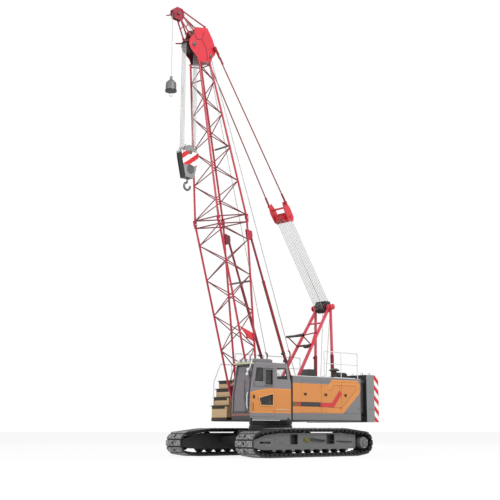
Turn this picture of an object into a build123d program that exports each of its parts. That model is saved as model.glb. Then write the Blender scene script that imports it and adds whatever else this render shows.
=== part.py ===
"""Crawler crane with a pinned lattice boom, as separate named pieces.

Frame: millimetres, +X to the front, +Y to the cab side, +Z up. The origin is on
the ground under the slewing axis. Each piece is written to parts/NODE.step.
"""
from build123d import *
import os
from math import asin, atan2, cos, degrees, hypot, pi, radians, sin, sqrt, tan

os.makedirs("parts", exist_ok=True)

# ---- Driving sizes: undercarriage ------------------------------------------
track_length = 5950
track_height = 970
track_gauge = 3680
shoe_width = 800
shoe_pitch = 214.04
end_radius = 395
wheel_height = 457
low_corner = 10 * shoe_pitch
high_corner = 7 * shoe_pitch
shoe_thickness = 30
lug_height = 35
slot_length = 104
slot_width = 84
slot_depth = 42
link_depth = 70
link_width = 220
side_frame_width = 400
side_frame_bottom = 260
side_frame_top = 800
side_frame_length = 4500
frame_window_depth = 150
final_drive_radius = 207
sprocket_teeth = 14
lower_roller_radius = 110
lower_roller_count = 9
roller_span = 3560
carrier_roller_radius = 60
carrier_places = (-1430, 0, 1430)
carbody_half_length = 950
carbody_bottom = 450
carbody_top = 960
axle_beam_offset = 700
axle_beam_width = 420
axle_beam_bottom = 430
axle_beam_top = 690
tow_hole_radius = 32
tow_plate_thickness = 50
tow_plate_height = 600
slew_ring_radius = 780

# ---- Driving sizes: revolving frame and house -------------------------------
deck_bottom = 1200
deck_plate = 40
deck_front = 1480
deck_half_width = 1540
girder_inside = 430
girder_width = 85
girder_top = 1640
house_rear = -3138
house_front = 450
house_inside = 680
house_outside = 1565
house_top = 2750
wall = 40
door_bottom = 1490
door_top = 2600
door_gap = 6
door_hinge_low = 1650
door_hinge_high = 2390
cab_hinge_low = 1500
cab_hinge_high = 2860
tail_reach = 4210
counterweight_front = 3460
counterweight_bottom = 1185
slab_heights = (475, 640, 620)
slab_corner = 90
cab_rear = 489
cab_front = 2450
cab_inside = 675
cab_outside = 1575
cab_top = 3145
cab_wall = 45
glass_thickness = 6
rail_radius = 17

# ---- Driving sizes: gantry, winches and backstops ---------------------------
gantry_head_x = -2805
gantry_head_z = 5524
gantry_front_foot_x = -206
gantry_foot_half = 475
gantry_head_half = 315
gantry_leg_depth = 94
gantry_leg_width = 78
gantry_rear_depth = 84
gantry_rear_width = 68
gantry_tie_heights = (4000, 4880)
rope_guide_heights = (4010, 4500)
gantry_shaft_length = 1080
gantry_sheave_radius = 210
drum_shaft_radius = 60
backstop_foot_x = -810
backstop_foot_z = 1750
backstop_half = 600
backstop_radius = 52
backstop_rod_radius = 40
backstop_tube_length = 4700
backstop_stroke = 1400

# ---- Driving sizes: boom ----------------------------------------------------
boom_foot_x = 1219
boom_foot_z = 1694
boom_angle = 79.2
boom_foot_pin_radius = 45
foot_width = 1100
foot_depth = 200
joint_reach = 6600
joint_width = 1290
joint_depth = 1340
head_reach = 12400
head_width = 500
head_depth = 500
chord_radius = 37
lacing_radius = 19
lacing_panels = 9
ear_length = 750
ear_thickness = 60
joint_tongue = 20
joint_lug_half = 52
joint_pin_radius = 24
head_sheave_reach = 13050
head_sheave_offset = 380
head_sheave_radius = 270
head_plate_half = 230
head_plate_thickness = 25
tip_sheave_reach = 14180
tip_sheave_offset = 790
tip_sheave_radius = 200
pendant_reach = 12950
pendant_offset = -560
pendant_radius = 22
bridle_top_x = -350
bridle_top_z = 9240
bridle_half = 380
guide_sheave_reach = 12640
guide_sheave_offset = -330
hook_block_top = 10670
hook_plate_drop = 240
hook_block_height = 1180
main_hook_length = 460
hook_block_width = 780
hook_block_thickness = 300
rope_radius = 11
groove_depth = 22
ball_top = 13050
ball_radius = 190
ball_height = 560
aux_hook_length = 190

# ---- Fits -------------------------------------------------------------------
running_gap = 0.3
moving_gap = 6
sheave_bore = 46
hinge_out = 18
hinge_knuckle_radius = 12
hinge_pin_radius = 6
hinge_height = 56
rope_seat = 8


# ---- Shape helpers ----------------------------------------------------------
def block(x0, x1, y0, y1, z0, z1):
    """Box between two corners."""
    return Pos((x0 + x1) / 2, (y0 + y1) / 2, (z0 + z1) / 2) * Box(x1 - x0, y1 - y0, z1 - z0)


def bar(start, end, radius):
    """Round bar between two points."""
    first = Vector(*start)
    axis = Vector(*end) - first
    base = (Align.CENTER, Align.CENTER, Align.MIN)
    return Plane(origin=first, z_dir=axis) * Cylinder(radius, axis.length, align=base)


def beam(start, end, width, depth):
    """Rectangular bar between two points, its width along Y."""
    first = Vector(*start)
    axis = Vector(*end) - first
    base = (Align.CENTER, Align.CENTER, Align.MIN)
    return Plane(origin=first, x_dir=(0, 1, 0), z_dir=axis) * Box(width, depth, axis.length, align=base)


def plate(points, y0, y1):
    """Plate with an outline of (x, z) points, between two places along Y."""
    face = make_face(Polyline([(x, y0, z) for x, z in points], close=True))
    return extrude(face, amount=y1 - y0, dir=(0, 1, 0))


def slab(points, z0, z1):
    """Slab with a plan outline of (x, y) points, between two heights."""
    face = make_face(Polyline([(x, y, z0) for x, y in points], close=True))
    return extrude(face, amount=z1 - z0, dir=(0, 0, 1))


def wheel(x, z, radius, y0, y1):
    """Disc on an axis along Y."""
    return bar((x, y0, z), (x, y1, z), radius)


def turned(profile, x, z, y=0):
    """Solid of (radius, y) points turned about an axis along Y."""
    face = make_face(Polyline([(x + r, y + a, z) for r, a in profile], close=True))
    return revolve(face, Axis((x, 0, z), (0, 1, 0)))


def joined(pieces):
    """One solid from pieces that meet."""
    return Part() + list(pieces)


def mirrored(shape):
    """The same shape on the other side of the machine."""
    return mirror(shape, about=Plane.XZ)


def both(shape):
    """A shape and its mirror image."""
    return [shape, mirrored(shape)]


def write(node, *solids):
    """Write one node, of one solid or of several that stand apart."""
    shape = solids[0] if len(solids) == 1 else Compound(list(solids))
    export_step(shape, f"parts/{node}.step")


# ---- Undercarriage ----------------------------------------------------------
shoe_height = shoe_thickness + lug_height
low_line = shoe_height
high_line = track_height - shoe_height
wheel_line_radius = end_radius - shoe_height
wheel_radius = wheel_line_radius - link_depth
half_run = track_length / 2 - end_radius
track_y = track_gauge / 2
side_frame_inner = track_y - side_frame_width / 2
side_frame_outer = track_y + side_frame_width / 2


def touch(corner, lower):
    """Slope in radians and end of the line from a corner that touches the front wheel's circle."""
    across, up = half_run - corner[0], wheel_height - corner[1]
    spread = asin(wheel_line_radius / hypot(across, up))
    slope = atan2(up, across) + (-spread if lower else spread)
    length = sqrt(across ** 2 + up ** 2 - wheel_line_radius ** 2)
    return slope, (corner[0] + length * cos(slope), corner[1] + length * sin(slope))


low_slope, low_touch = touch((low_corner, low_line), True)
high_slope, high_touch = touch((high_corner, high_line), False)


def belt(depth, width):
    """Solid filled loop at a distance inside the line on which the shoes lie."""
    low = (low_corner - depth * tan(low_slope / 2), low_line + depth)
    high = (high_corner + depth * tan(high_slope / 2), high_line - depth)
    low_end = (low_touch[0] - depth * sin(low_slope), low_touch[1] + depth * cos(low_slope))
    high_end = (high_touch[0] + depth * sin(high_slope), high_touch[1] - depth * cos(high_slope))
    front = [low, low_end, high_end, high]
    rear = [(-x, z) for x, z in reversed(front)]
    middle = plate(front + rear, track_y - width / 2, track_y + width / 2)
    ends = [wheel(x, wheel_height, wheel_line_radius - depth, track_y - width / 2, track_y + width / 2)
            for x in (-half_run, half_run)]
    return middle + ends


def shoe_frames():
    """Centre and heading of each shoe, evenly round the loop from under the machine."""
    low_run = hypot(low_touch[0] - low_corner, low_touch[1] - low_line)
    high_run = hypot(high_touch[0] - high_corner, high_touch[1] - high_line)
    turn = pi + high_slope - low_slope
    # (start, heading, length, radius or 0 for a straight run)
    runs = [((0, low_line), 0, low_corner, 0), ((low_corner, low_line), low_slope, low_run, 0),
            (low_touch, low_slope, turn * wheel_line_radius, wheel_line_radius),
            (high_touch, pi + high_slope, high_run, 0),
            ((high_corner, high_line), pi, high_corner, 0)]
    half = sum(run[2] for run in runs)
    count = 2 * round(half / shoe_pitch)
    frames = []
    for i in range(count // 2):
        rest = (i + 0.5) * half / (count // 2)
        for (x, z), heading, length, radius in runs:
            if rest <= length:
                break
            rest -= length
        if radius:
            heading += rest / radius
            place = (half_run + radius * sin(heading), wheel_height - radius * cos(heading))
        else:
            place = (x + rest * cos(heading), z + rest * sin(heading))
        frames.append((place, heading))
    rear = [((-x, z), 2 * pi - heading) for (x, z), heading in reversed(frames)]
    return frames + rear


def in_shoe(frame, along, height):
    """Point of a shoe from its place along the loop and its height above the shoe line."""
    (x, z), heading = frame
    return (x + along * cos(heading) + height * sin(heading),
            z + along * sin(heading) - height * cos(heading))


def track_loop():
    """Closed loop of crowned shoes with a slot in the middle, on a narrower chain of links."""
    web = 8
    # (share of the pitch along the shoe, height above the shoe line)
    shoe_profile = [(-0.47, web), (-0.46, shoe_height - 22), (-0.34, shoe_height), (0.34, shoe_height),
                    (0.46, shoe_height - 22), (0.47, web)]
    frames = shoe_frames()
    outline = [in_shoe(frame, share * shoe_pitch, height)
               for frame in frames for share, height in shoe_profile]
    shoes = plate(outline, track_y - shoe_width / 2, track_y + shoe_width / 2)
    shoes -= belt(0, shoe_width)
    slots = []
    for frame in frames:
        corners = [in_shoe(frame, along, height) for along, height in (
            (-slot_length / 2, shoe_height - slot_depth), (slot_length / 2, shoe_height - slot_depth),
            (slot_length / 2, shoe_height + 20), (-slot_length / 2, shoe_height + 20))]
        slots.append(plate(corners, track_y - slot_width / 2, track_y + slot_width / 2))
    shoes -= slots
    return shoes + (belt(-web / 2, link_width) - belt(link_depth, link_width))


def roller_places():
    """Places along X of the lower rollers."""
    return [-roller_span / 2 + i * roller_span / (lower_roller_count - 1)
            for i in range(lower_roller_count)]


def side_frame():
    """Box beam inside the track with roller pockets, an idler fork and a drive arm."""
    half = side_frame_length / 2
    low, high = side_frame_bottom, side_frame_top
    outline = [(-half, low + 40), (120 - half, low), (half - 120, low), (half, low + 40),
               (half, high - 70), (high_corner + 20, high), (-high_corner - 20, high), (-half, high - 70)]
    frame = plate(outline, side_frame_inner, side_frame_outer)
    # (centre along X, width along X)
    for x, width in ((855, 350), (-940, 400)):
        frame -= block(x - width / 2, x + width / 2, side_frame_outer - frame_window_depth,
                       side_frame_outer + 1, 430, high - 45)
    room = roller_span / 2 + lower_roller_radius + 15
    frame -= block(-room, room, track_y - 160, track_y + 160, low - 1, low + 110)
    for x in carrier_places:
        frame -= block(x - 80, x + 80, track_y - 115, track_y + 115, high - 100, high + 1)
    pads = []
    pad_foot = roller_height(lower_roller_radius, True) - 45
    for x in roller_places():
        for y0, y1 in ((-200, -160), (160, 200)):
            outline = [(x - 95, low + 10), (x - 50, pad_foot), (x + 50, pad_foot), (x + 95, low + 10)]
            pads.append(plate(outline, track_y + y0, track_y + y1))
    reach = half_run + 125
    fork = [(half - 300, low + 2), (half + 80, low + 2), (reach, wheel_height - 120),
            (reach, wheel_height + 120), (half + 80, high - 110), (half - 300, high - 75)]
    for y0, y1 in ((-200, -150), (150, 200)):
        pads.append(plate(fork, track_y + y0, track_y + y1))
    arm = [(200 - half, wheel_height - 120), (-half_run - 90, wheel_height - 110),
           (-half_run - 90, wheel_height + 110), (200 - half, wheel_height + 170)]
    pads.append(plate(arm, side_frame_inner - 20, track_y - 120))
    slot = block(half - 300, half + 170, side_frame_outer - 50, side_frame_outer + 1,
                 wheel_height + 5, wheel_height + 70)
    return joined([frame] + pads) - slot


def roller_height(radius, lower):
    """Height of a roller's centre just clear of the lower or upper run of links."""
    depth = link_depth + running_gap + radius
    return low_line + depth if lower else high_line - depth


def sprocket():
    """Toothed drive wheel with the stepped final drive on its outer side."""
    tooth_depth = 26
    root = wheel_radius - running_gap - tooth_depth
    outline = []
    for i in range(sprocket_teeth):
        for share, radius in ((0.0, root), (0.28, root), (0.42, root + tooth_depth),
                              (0.86, root + tooth_depth)):
            a = 2 * pi * (i + share) / sprocket_teeth
            outline.append((-half_run + radius * cos(a), wheel_height + radius * sin(a)))
    rim = plate(outline, track_y - 45, track_y + 45)
    # (radius, place along Y from the track's centre)
    drive = [(0, -120), (130, -120), (130, -60), (root - 8, -40), (root - 8, 60),
             (final_drive_radius + 30, 115), (final_drive_radius + 30, 165),
             (final_drive_radius, 180), (final_drive_radius, 300),
             (final_drive_radius - 30, 325), (95, 325), (80, 340), (0, 340)]
    return rim + turned(drive, -half_run, wheel_height, track_y)


def idler():
    """Front wheel with a dished web, a rim flange and a hub."""
    rim = wheel_radius - running_gap
    profile = [(0, -150), (85, -150), (85, -40), (rim - 60, -40), (rim - 45, -105), (rim, -105),
               (rim, 105), (rim - 45, 105), (rim - 60, 40), (85, 40), (85, 150), (0, 150)]
    return turned(profile, half_run, wheel_height, track_y)


def lower_rollers():
    """Double-flanged rollers under the side frame."""
    z = roller_height(lower_roller_radius, True)
    r = lower_roller_radius
    profile = [(0, -160), (40, -160), (40, -140), (r - 20, -125), (r, -100), (r, 100), (r - 20, 125),
               (40, 140), (40, 160), (0, 160)]
    return [turned(profile, x, z, track_y) for x in roller_places()]


def carrier_rollers():
    """Small rollers that carry the upper run."""
    z = roller_height(carrier_roller_radius, False)
    return [wheel(x, z, carrier_roller_radius, track_y - 115, track_y + 115) for x in carrier_places]


def carbody():
    """Centre box with sloped shoulders, two axle beams, tow plates and the ring pedestal."""
    side = carbody_half_length
    cut = 260
    plan = [(side, side - cut), (side - cut, side), (cut - side, side), (-side, side - cut),
            (-side, cut - side), (cut - side, -side), (side - cut, -side), (side, cut - side)]
    body = slab(plan, carbody_bottom, carbody_top - 60)
    pieces = [body, Pos(0, 0, carbody_top - 40) * Cylinder(slew_ring_radius + 30, 80)]
    for x in (-axle_beam_offset, axle_beam_offset):
        pieces.append(block(x - axle_beam_width / 2, x + axle_beam_width / 2,
                            -side_frame_inner, side_frame_inner, axle_beam_bottom, axle_beam_top))
    for way in (-1, 1):
        x = way * side
        lug = slab([(x - way * 40, -170), (x + way * 150, -85), (x + way * 150, 85),
                    (x - way * 40, 170)], tow_plate_height, tow_plate_height + tow_plate_thickness)
        middle = tow_plate_height + tow_plate_thickness / 2
        lug -= Pos(x + way * 85, 0, middle) * Cylinder(tow_hole_radius, 2 * tow_plate_thickness)
        pieces.append(lug)
    return joined(pieces)


def slew_ring():
    """Two-race ring between the carbody and the revolving frame."""
    profile = [(560, 0), (slew_ring_radius, 0), (slew_ring_radius, 90), (slew_ring_radius - 35, 100),
               (slew_ring_radius - 35, 125), (slew_ring_radius - 10, 135),
               (slew_ring_radius - 10, deck_bottom - carbody_top - running_gap),
               (560, deck_bottom - carbody_top - running_gap)]
    face = make_face(Polyline([(r, 0, carbody_top + h) for r, h in profile], close=True))
    return revolve(face, Axis.Z)


def build_undercarriage():
    """Write the pieces that stay on the ground."""
    write("carbody", carbody())
    write("slew_ring", slew_ring())
    for side, place in (("left", lambda s: s), ("right", mirrored)):
        write(f"track_frame_{side}", place(side_frame()))
        write(f"track_{side}", place(track_loop()))
    write("drive_sprockets", *both(sprocket()))
    write("idlers", *both(idler()))
    rollers = lower_rollers() + carrier_rollers()
    write("track_rollers", *[s for r in rollers for s in both(r)])


# ---- Winch drums --------------------------------------------------------------
# (node, place along X, height, barrel radius, rope radius, flange radius)
drums = [("front_drum", -560, 2020, 215, 265, 350), ("main_drum", -1840, 2020, 215, 265, 350),
         ("boom_hoist_drum", -2500, 2000, 130, 185, 240)]
drum_half = 345
pedestal_inside = 352
pedestal_outside = 400


def drum(x, z, barrel, rope, flange):
    """Barrel wound with rope between two flanges, with stub shafts in the pedestals."""
    edge = drum_half - 35
    profile = [(0, -pedestal_outside), (drum_shaft_radius - running_gap, -pedestal_outside),
               (drum_shaft_radius - running_gap, -drum_half), (flange, -drum_half), (flange, -edge),
               (rope, -edge), (rope, edge), (flange, edge), (flange, drum_half),
               (drum_shaft_radius - running_gap, drum_half),
               (drum_shaft_radius - running_gap, pedestal_outside), (0, pedestal_outside)]
    hub = turned([(barrel - 70, -drum_half - 1), (barrel - 20, -drum_half - 1),
                  (barrel - 20, -drum_half + 12), (barrel - 70, -drum_half + 12)], x, z)
    return turned(profile, x, z) - hub - mirrored(hub)


# ---- Boom frame -----------------------------------------------------------------
boom_up = (cos(radians(boom_angle)), sin(radians(boom_angle)))
boom_out = (sin(radians(boom_angle)), -cos(radians(boom_angle)))


def on_boom(reach, offset):
    """Point (x, z) at a reach along the boom's axis and an offset to its front."""
    return (boom_foot_x + reach * boom_up[0] + offset * boom_out[0],
            boom_foot_z + reach * boom_up[1] + offset * boom_out[1])


def boom_point(reach, offset, y):
    """The same point with its place across the boom."""
    x, z = on_boom(reach, offset)
    return (x, y, z)


def boom_plate(points, y0, y1):
    """Plate with an outline of (reach, offset) points on the boom."""
    return plate([on_boom(*p) for p in points], y0, y1)


def half_section(reach):
    """Half width and half depth of the lattice at a reach."""
    if reach <= joint_reach:
        share = reach / joint_reach
        return ((foot_width + (joint_width - foot_width) * share) / 2,
                (foot_depth + (joint_depth - foot_depth) * share) / 2)
    share = (reach - joint_reach) / (head_reach - joint_reach)
    return ((joint_width + (head_width - joint_width) * share) / 2,
            (joint_depth + (head_depth - joint_depth) * share) / 2)


def corner(reach, front, left):
    """Point of a chord: front and left are 1 or -1."""
    width, depth = half_section(reach)
    return boom_point(reach, front * depth, left * width)


backstop_eye = on_boom(6000, -half_section(6000)[1] - 150)
backstop_run = (backstop_eye[0] - backstop_foot_x, backstop_eye[1] - backstop_foot_z)
backstop_length = hypot(*backstop_run)
backstop_dir = (backstop_run[0] / backstop_length, backstop_run[1] / backstop_length)


# ---- Revolving frame and gantry ---------------------------------------------------
deck_top = deck_bottom + deck_plate
girder_outside = girder_inside + girder_width


def deck_frame():
    """Deck plate, two main girders with boom lugs, winch pedestals, backstop feet and tail frame."""
    cut = 160
    plan = [(house_rear, -deck_half_width), (deck_front - cut, -deck_half_width),
            (deck_front, cut - deck_half_width), (deck_front, deck_half_width - cut),
            (deck_front - cut, deck_half_width), (house_rear, deck_half_width)]
    pieces = [slab(plan, deck_bottom, deck_top)]
    pieces.append(block(-counterweight_front, house_rear, -1150, 1150, deck_bottom, deck_top + 260))
    nose = boom_foot_x + 170
    girder = [(house_rear, deck_bottom + 20), (nose, deck_bottom + 20), (nose, boom_foot_z - 60),
              (nose - 60, boom_foot_z + 95), (boom_foot_x - 90, boom_foot_z + 95),
              (boom_foot_x - 240, girder_top), (house_rear, girder_top)]
    side = [plate(girder, girder_inside, girder_outside)]
    side.append(wheel(boom_foot_x, boom_foot_z, boom_foot_pin_radius, girder_inside + 10,
                      foot_width / 2 + ear_thickness / 2 + 14))
    side.append(block(-counterweight_front, house_rear, girder_inside, girder_outside,
                      deck_bottom + 20, girder_top + 500))
    for _, x, z, _, _, _ in drums:
        stand = plate([(x - 230, deck_top - 10), (x - 105, z + 60), (x - 60, z + 120),
                       (x + 60, z + 120), (x + 105, z + 60), (x + 230, deck_top - 10)],
                      pedestal_inside, pedestal_outside)
        stand += block(x - 160, x + 160, pedestal_inside, girder_inside + 5, deck_top - 10, girder_top - 60)
        side.append(stand - wheel(x, z, drum_shaft_radius, pedestal_inside - 5, pedestal_outside + 5))
    for y in (backstop_half - 60, backstop_half + 30.5):
        side.append(plate([(backstop_foot_x - 140, deck_top - 10), (backstop_foot_x - 60, backstop_foot_z + 60),
                           (backstop_foot_x + 60, backstop_foot_z + 60),
                           (backstop_foot_x + 140, deck_top - 10)], y, y + 29.5))
    side.append(wheel(backstop_foot_x, backstop_foot_z, 30, backstop_half - 60, backstop_half + 60))
    pieces += [s for piece in side for s in both(piece)]
    pieces.append(block(deck_front - 80, cab_front - 70, cab_inside + 25, cab_outside - 35,
                        deck_bottom, deck_top))
    front_tie = block(boom_foot_x - 330, boom_foot_x - 250, -girder_inside - 5, girder_inside + 5,
                      deck_top - 10, girder_top - 40)
    pieces.append(front_tie)
    return joined(pieces)


def gantry_front_point(z):
    """Place along X and half spread of the front legs' centre line at a height."""
    share = (z - girder_top) / (gantry_head_z - girder_top)
    return (gantry_front_foot_x + (gantry_head_x - gantry_front_foot_x) * share,
            gantry_foot_half + (gantry_head_half - gantry_foot_half) * share)


def gantry_front_leg():
    """Left sloping leg, from its shoe to the head shaft."""
    foot_x, foot_y = gantry_front_point(girder_top + 60)
    head_x, head_y = gantry_front_point(gantry_head_z)
    leg = beam((foot_x, foot_y, girder_top + 60), (head_x, head_y, gantry_head_z),
               gantry_leg_width, gantry_leg_depth)
    return leg - block(foot_x - 500, foot_x + 500, 0, 1000, 0, girder_top)


def gantry_front():
    """Sloping legs with foot shoes and two cross ties."""
    foot_x, foot_y = gantry_front_point(girder_top + 60)
    leg = gantry_front_leg()
    shoe = plate([(foot_x - 190, girder_top), (foot_x + 170, girder_top), (foot_x + 60, girder_top + 210),
                  (foot_x - 150, girder_top + 210)], girder_inside, girder_outside)
    head = wheel(gantry_head_x, gantry_head_z, 115, gantry_head_half - gantry_leg_width / 2,
                 gantry_head_half + gantry_leg_width / 2)
    pieces = both(leg + shoe + head)
    for z in gantry_tie_heights:
        x, y = gantry_front_point(z)
        pieces.append(bar((x, -y, z), (x, y, z), 34))
    hole = wheel(gantry_head_x, gantry_head_z, 60, -1000, 1000)
    return joined(pieces) - hole


def gantry_rear():
    """Upright legs from the tail girders to the head, with one cross tie."""
    foot_y = girder_inside + girder_width / 2
    top_y = gantry_head_half + gantry_leg_width / 2 + 44
    leg = beam((gantry_head_x - 20, foot_y, girder_top), (gantry_head_x, top_y, gantry_head_z),
               gantry_rear_width, gantry_rear_depth)
    leg -= block(gantry_head_x - 500, gantry_head_x + 500, 0, 1000, 0, girder_top)
    head = wheel(gantry_head_x, gantry_head_z, 105, top_y - 40, top_y + 40)
    pieces = both(leg + head)
    tie_y = foot_y + (top_y - foot_y) * 0.3
    tie_z = girder_top + (gantry_head_z - girder_top) * 0.3
    pieces.append(bar((gantry_head_x - 14, -tie_y, tie_z), (gantry_head_x - 14, tie_y, tie_z), 32))
    hole = wheel(gantry_head_x, gantry_head_z, 60, -1000, 1000)
    return joined(pieces) - hole


def gantry_head():
    """Cross shaft with its sheaves between cheek plates."""
    pieces = [wheel(gantry_head_x, gantry_head_z, 60, -gantry_shaft_length / 2, gantry_shaft_length / 2)]
    sheave = [(30, -28), (gantry_sheave_radius, -28), (gantry_sheave_radius, -20),
              (gantry_sheave_radius - 30, 0), (gantry_sheave_radius, 20), (gantry_sheave_radius, 28),
              (30, 28)]
    for i in range(6):
        pieces.append(turned(sheave, gantry_head_x, gantry_head_z, -190 + 76 * i))
    cheek = gantry_sheave_radius + 25
    for y in (-250, 235):
        pieces.append(plate([(gantry_head_x - 120, gantry_head_z - cheek + 60),
                             (gantry_head_x + 120, gantry_head_z - cheek + 60),
                             (gantry_head_x + cheek, gantry_head_z + 40),
                             (gantry_head_x + 120, gantry_head_z + cheek),
                             (gantry_head_x - 120, gantry_head_z + cheek),
                             (gantry_head_x - cheek, gantry_head_z + 40)], y, y + 15))
    pieces.append(block(gantry_head_x - 60, gantry_head_x + 120, -240, 240,
                        gantry_head_z + cheek - 14, gantry_head_z + cheek))
    return joined(pieces)


def rope_guide():
    """Roller bar held in front of the front legs by two triangular arms."""
    bar_x, bar_z, half = -1260, 4330, 450
    pieces = [bar((bar_x, -half, bar_z), (bar_x, half, bar_z), 42)]
    for z in rope_guide_heights:
        x, y = gantry_front_point(z)
        for way in (-1, 1):
            pieces.append(bar((x + 50, way * y, z), (bar_x, way * (half - 60), bar_z), 24))
    low_z = rope_guide_heights[0]
    low_x, low_y = gantry_front_point(low_z)
    pieces.append(bar((low_x + 78, -low_y, low_z), (low_x + 78, low_y, low_z), 26))
    return joined(pieces) - both(gantry_front_leg())


# ---- Houses, counterweight and deck gear ---------------------------------------------
# (node part, rear edge along X, front edge along X)
door_places = [("rear", -3098, -2080), ("middle", -2074, -1014), ("front", -1008, 20)]


def hinge_lugs(x0, face, low, high):
    """Lugs and pins on a wall's face, for a door whose rear edge is at x0."""
    axis_x = x0 + moving_gap
    axis_y = face + hinge_out
    lugs = []
    for z in (low, high):
        for z0 in (z - 14, z + hinge_height + 2):
            lug = block(x0 - moving_gap, axis_x, face, axis_y + 9, z0, z0 + 12)
            lug += Pos(axis_x, axis_y, z0 + 6) * Cylinder(9, 12)
            lugs.append(lug)
        lugs.append(bar((axis_x, axis_y, z - 14), (axis_x, axis_y, z + hinge_height + 14),
                        hinge_pin_radius))
    return lugs


def hinge_straps(x0, face, low, high):
    """Straps and knuckles on a door's outer face, round the pins of the lugs."""
    axis_x = x0 + moving_gap
    axis_y = face + hinge_out
    straps = []
    for z in (low, high):
        strap = block(axis_x, x0 + 100, face, face + 12, z, z + hinge_height)
        strap += block(axis_x, axis_x + 12, face, axis_y, z, z + hinge_height)
        strap += Pos(axis_x, axis_y, z + hinge_height / 2) * Cylinder(hinge_knuckle_radius, hinge_height)
        strap -= Pos(axis_x, axis_y, z + hinge_height / 2) * Cylinder(hinge_pin_radius + 0.5,
                                                                     hinge_height + 2)
        straps.append(strap)
    return straps


def house():
    """Hollow machinery house on the left, with three door openings in its side."""
    shell = block(house_rear, house_front, house_inside, house_outside, deck_top, house_top)
    shell -= block(house_rear + wall, house_front - wall, house_inside + wall, house_outside - wall,
                   deck_top - 1, house_top - wall)
    for _, x0, x1 in door_places:
        shell -= block(x0, x1, house_outside - wall - 1, house_outside + 1, door_bottom, door_top)
    for _, x0, _ in door_places:
        shell = joined([shell, *hinge_lugs(x0, house_outside, door_hinge_low, door_hinge_high)])
    return shell


def house_door(x0, x1):
    """Flush door with a pressed frame on its inner face."""
    leaf = block(x0 + door_gap, x1 - door_gap, house_outside - wall, house_outside,
                 door_bottom + door_gap, door_top - door_gap)
    leaf -= block(x0 + 90, x1 - 90, house_outside - wall - 1, house_outside - wall + 18,
                  door_bottom + 90, door_top - 90)
    return joined([leaf, *hinge_straps(x0, house_outside, door_hinge_low, door_hinge_high)])


def counterweight(bottom, height):
    """One cast slab with rounded rear corners and chamfered edges."""
    piece = block(-tail_reach, -counterweight_front, -house_outside, house_outside, bottom, bottom + height)
    rear = [e for e in piece.edges().filter_by(Axis.Z) if e.center().X < -tail_reach + 1]
    return fillet(rear, slab_corner)


def step_box():
    """Locker at the front right whose front rises in steps to the roof."""
    # (front of the tread along X, height of the tread)
    steps = [(1500, 1750), (1410, 2050), (1300, 2350), (1180, 2640)]
    outline = [(house_front, deck_top)]
    last = deck_top
    for x, z in steps:
        outline += [(x, last), (x, z)]
        last = z
    outline.append((house_front, last))
    room = plate(inset(outline, wall), wall - 1500, -house_inside - wall)
    return plate(outline, -1500, -house_inside) - room


def rail(points, y):
    """Bent handrail through (x, z) points at one place across the machine."""
    pieces = [bar((a[0], y, a[1]), (b[0], y, b[1]), rail_radius) for a, b in zip(points, points[1:])]
    pieces += [Pos(x, y, z) * Sphere(rail_radius) for x, z in points[1:-1]]
    return joined(pieces)


def roof_rail(x0, x1, y):
    """Two-bar railing on a roof edge."""
    top, middle = house_top + 930, house_top + 500
    pieces = [rail([(x0, house_top), (x0, top), (x1, top), (x1, house_top)], y),
              bar((x0, y, middle), (x1, y, middle), rail_radius - 4)]
    if abs(x1 - x0) > 1200:
        centre = (x0 + x1) / 2
        pieces.append(bar((centre, y, house_top), (centre, y, top), rail_radius - 3))
    return joined(pieces)


def handrails():
    """Railings on both roofs and beside the steps."""
    edge = house_outside - 60
    rear = roof_rail(-3040, -1240, edge)
    front = roof_rail(-1060, 380, -edge)
    steps = rail([(1450, 1750), (1450, 2600), (1150, 3250), (600, 3250), (600, 2640)], -1460)
    return [rear, mirrored(rear), front, steps]


# ---- Cab ---------------------------------------------------------------------------
cab_floor = deck_top
# (x, z) outline of the cab's side, from the lower rear corner
cab_side = [(cab_rear, cab_floor), (cab_front, cab_floor), (cab_front + 17, 1400), (cab_front - 20, 2120),
            (cab_front - 195, 3060), (cab_front - 270, cab_top), (cab_rear + 225, cab_top),
            (cab_rear + 10, 2420)]


def inset(points, amount):
    """Outline moved inwards by a wall's thickness."""
    face = make_face(Polyline([(x, z, 0) for x, z in points], close=True))
    edge = offset(face, -amount, kind=Kind.INTERSECTION).wire()
    return [(v.X, v.Y) for v in edge.vertices()]


cab_lining = inset(cab_side, cab_wall)
cab_door_rear = 1300
cab_door_front = 2360
# (x, z) outline of the cab door
cab_door_side = [(cab_door_rear, 1330), (cab_door_front, 1330), (cab_door_front, 2130),
                 (cab_door_front - 160, 3030), (cab_door_rear, 3030)]
door_window = [(1375, 2330), (2265, 2330), (2150, 2960), (1375, 2960)]
low_window = [(1390, 1720), (1960, 1720), (2040, 1950), (1390, 2090)]
rear_window = [(680, 2600), (1200, 2600), (1200, 2980), (760, 2980)]


def cab_shell():
    """Hollow cab with its window openings and doorway."""
    body = plate(cab_side, cab_inside, cab_outside)
    body -= plate(cab_lining, cab_inside + cab_wall, cab_outside - cab_wall)
    body -= plate(cab_door_side, cab_outside - cab_wall - 1, cab_outside + 1)
    for outline, y in ((rear_window, cab_outside), (rear_window, cab_inside), (door_window, cab_inside)):
        body -= plate(outline, y - cab_wall - 1, y + cab_wall + 1)
    body -= block(cab_front - 260, cab_front + 60, cab_inside + 70, cab_outside - 70, 1480, 3030)
    body -= block(cab_rear - 30, cab_rear + 260, cab_inside + 120, cab_outside - 120, 2300, 2960)
    body -= block(1420, 2080, cab_inside + 110, cab_outside - 110, cab_top - 60, cab_top + 1)
    return joined([body, *hinge_lugs(cab_door_rear, cab_outside, cab_hinge_low, cab_hinge_high)])


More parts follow.
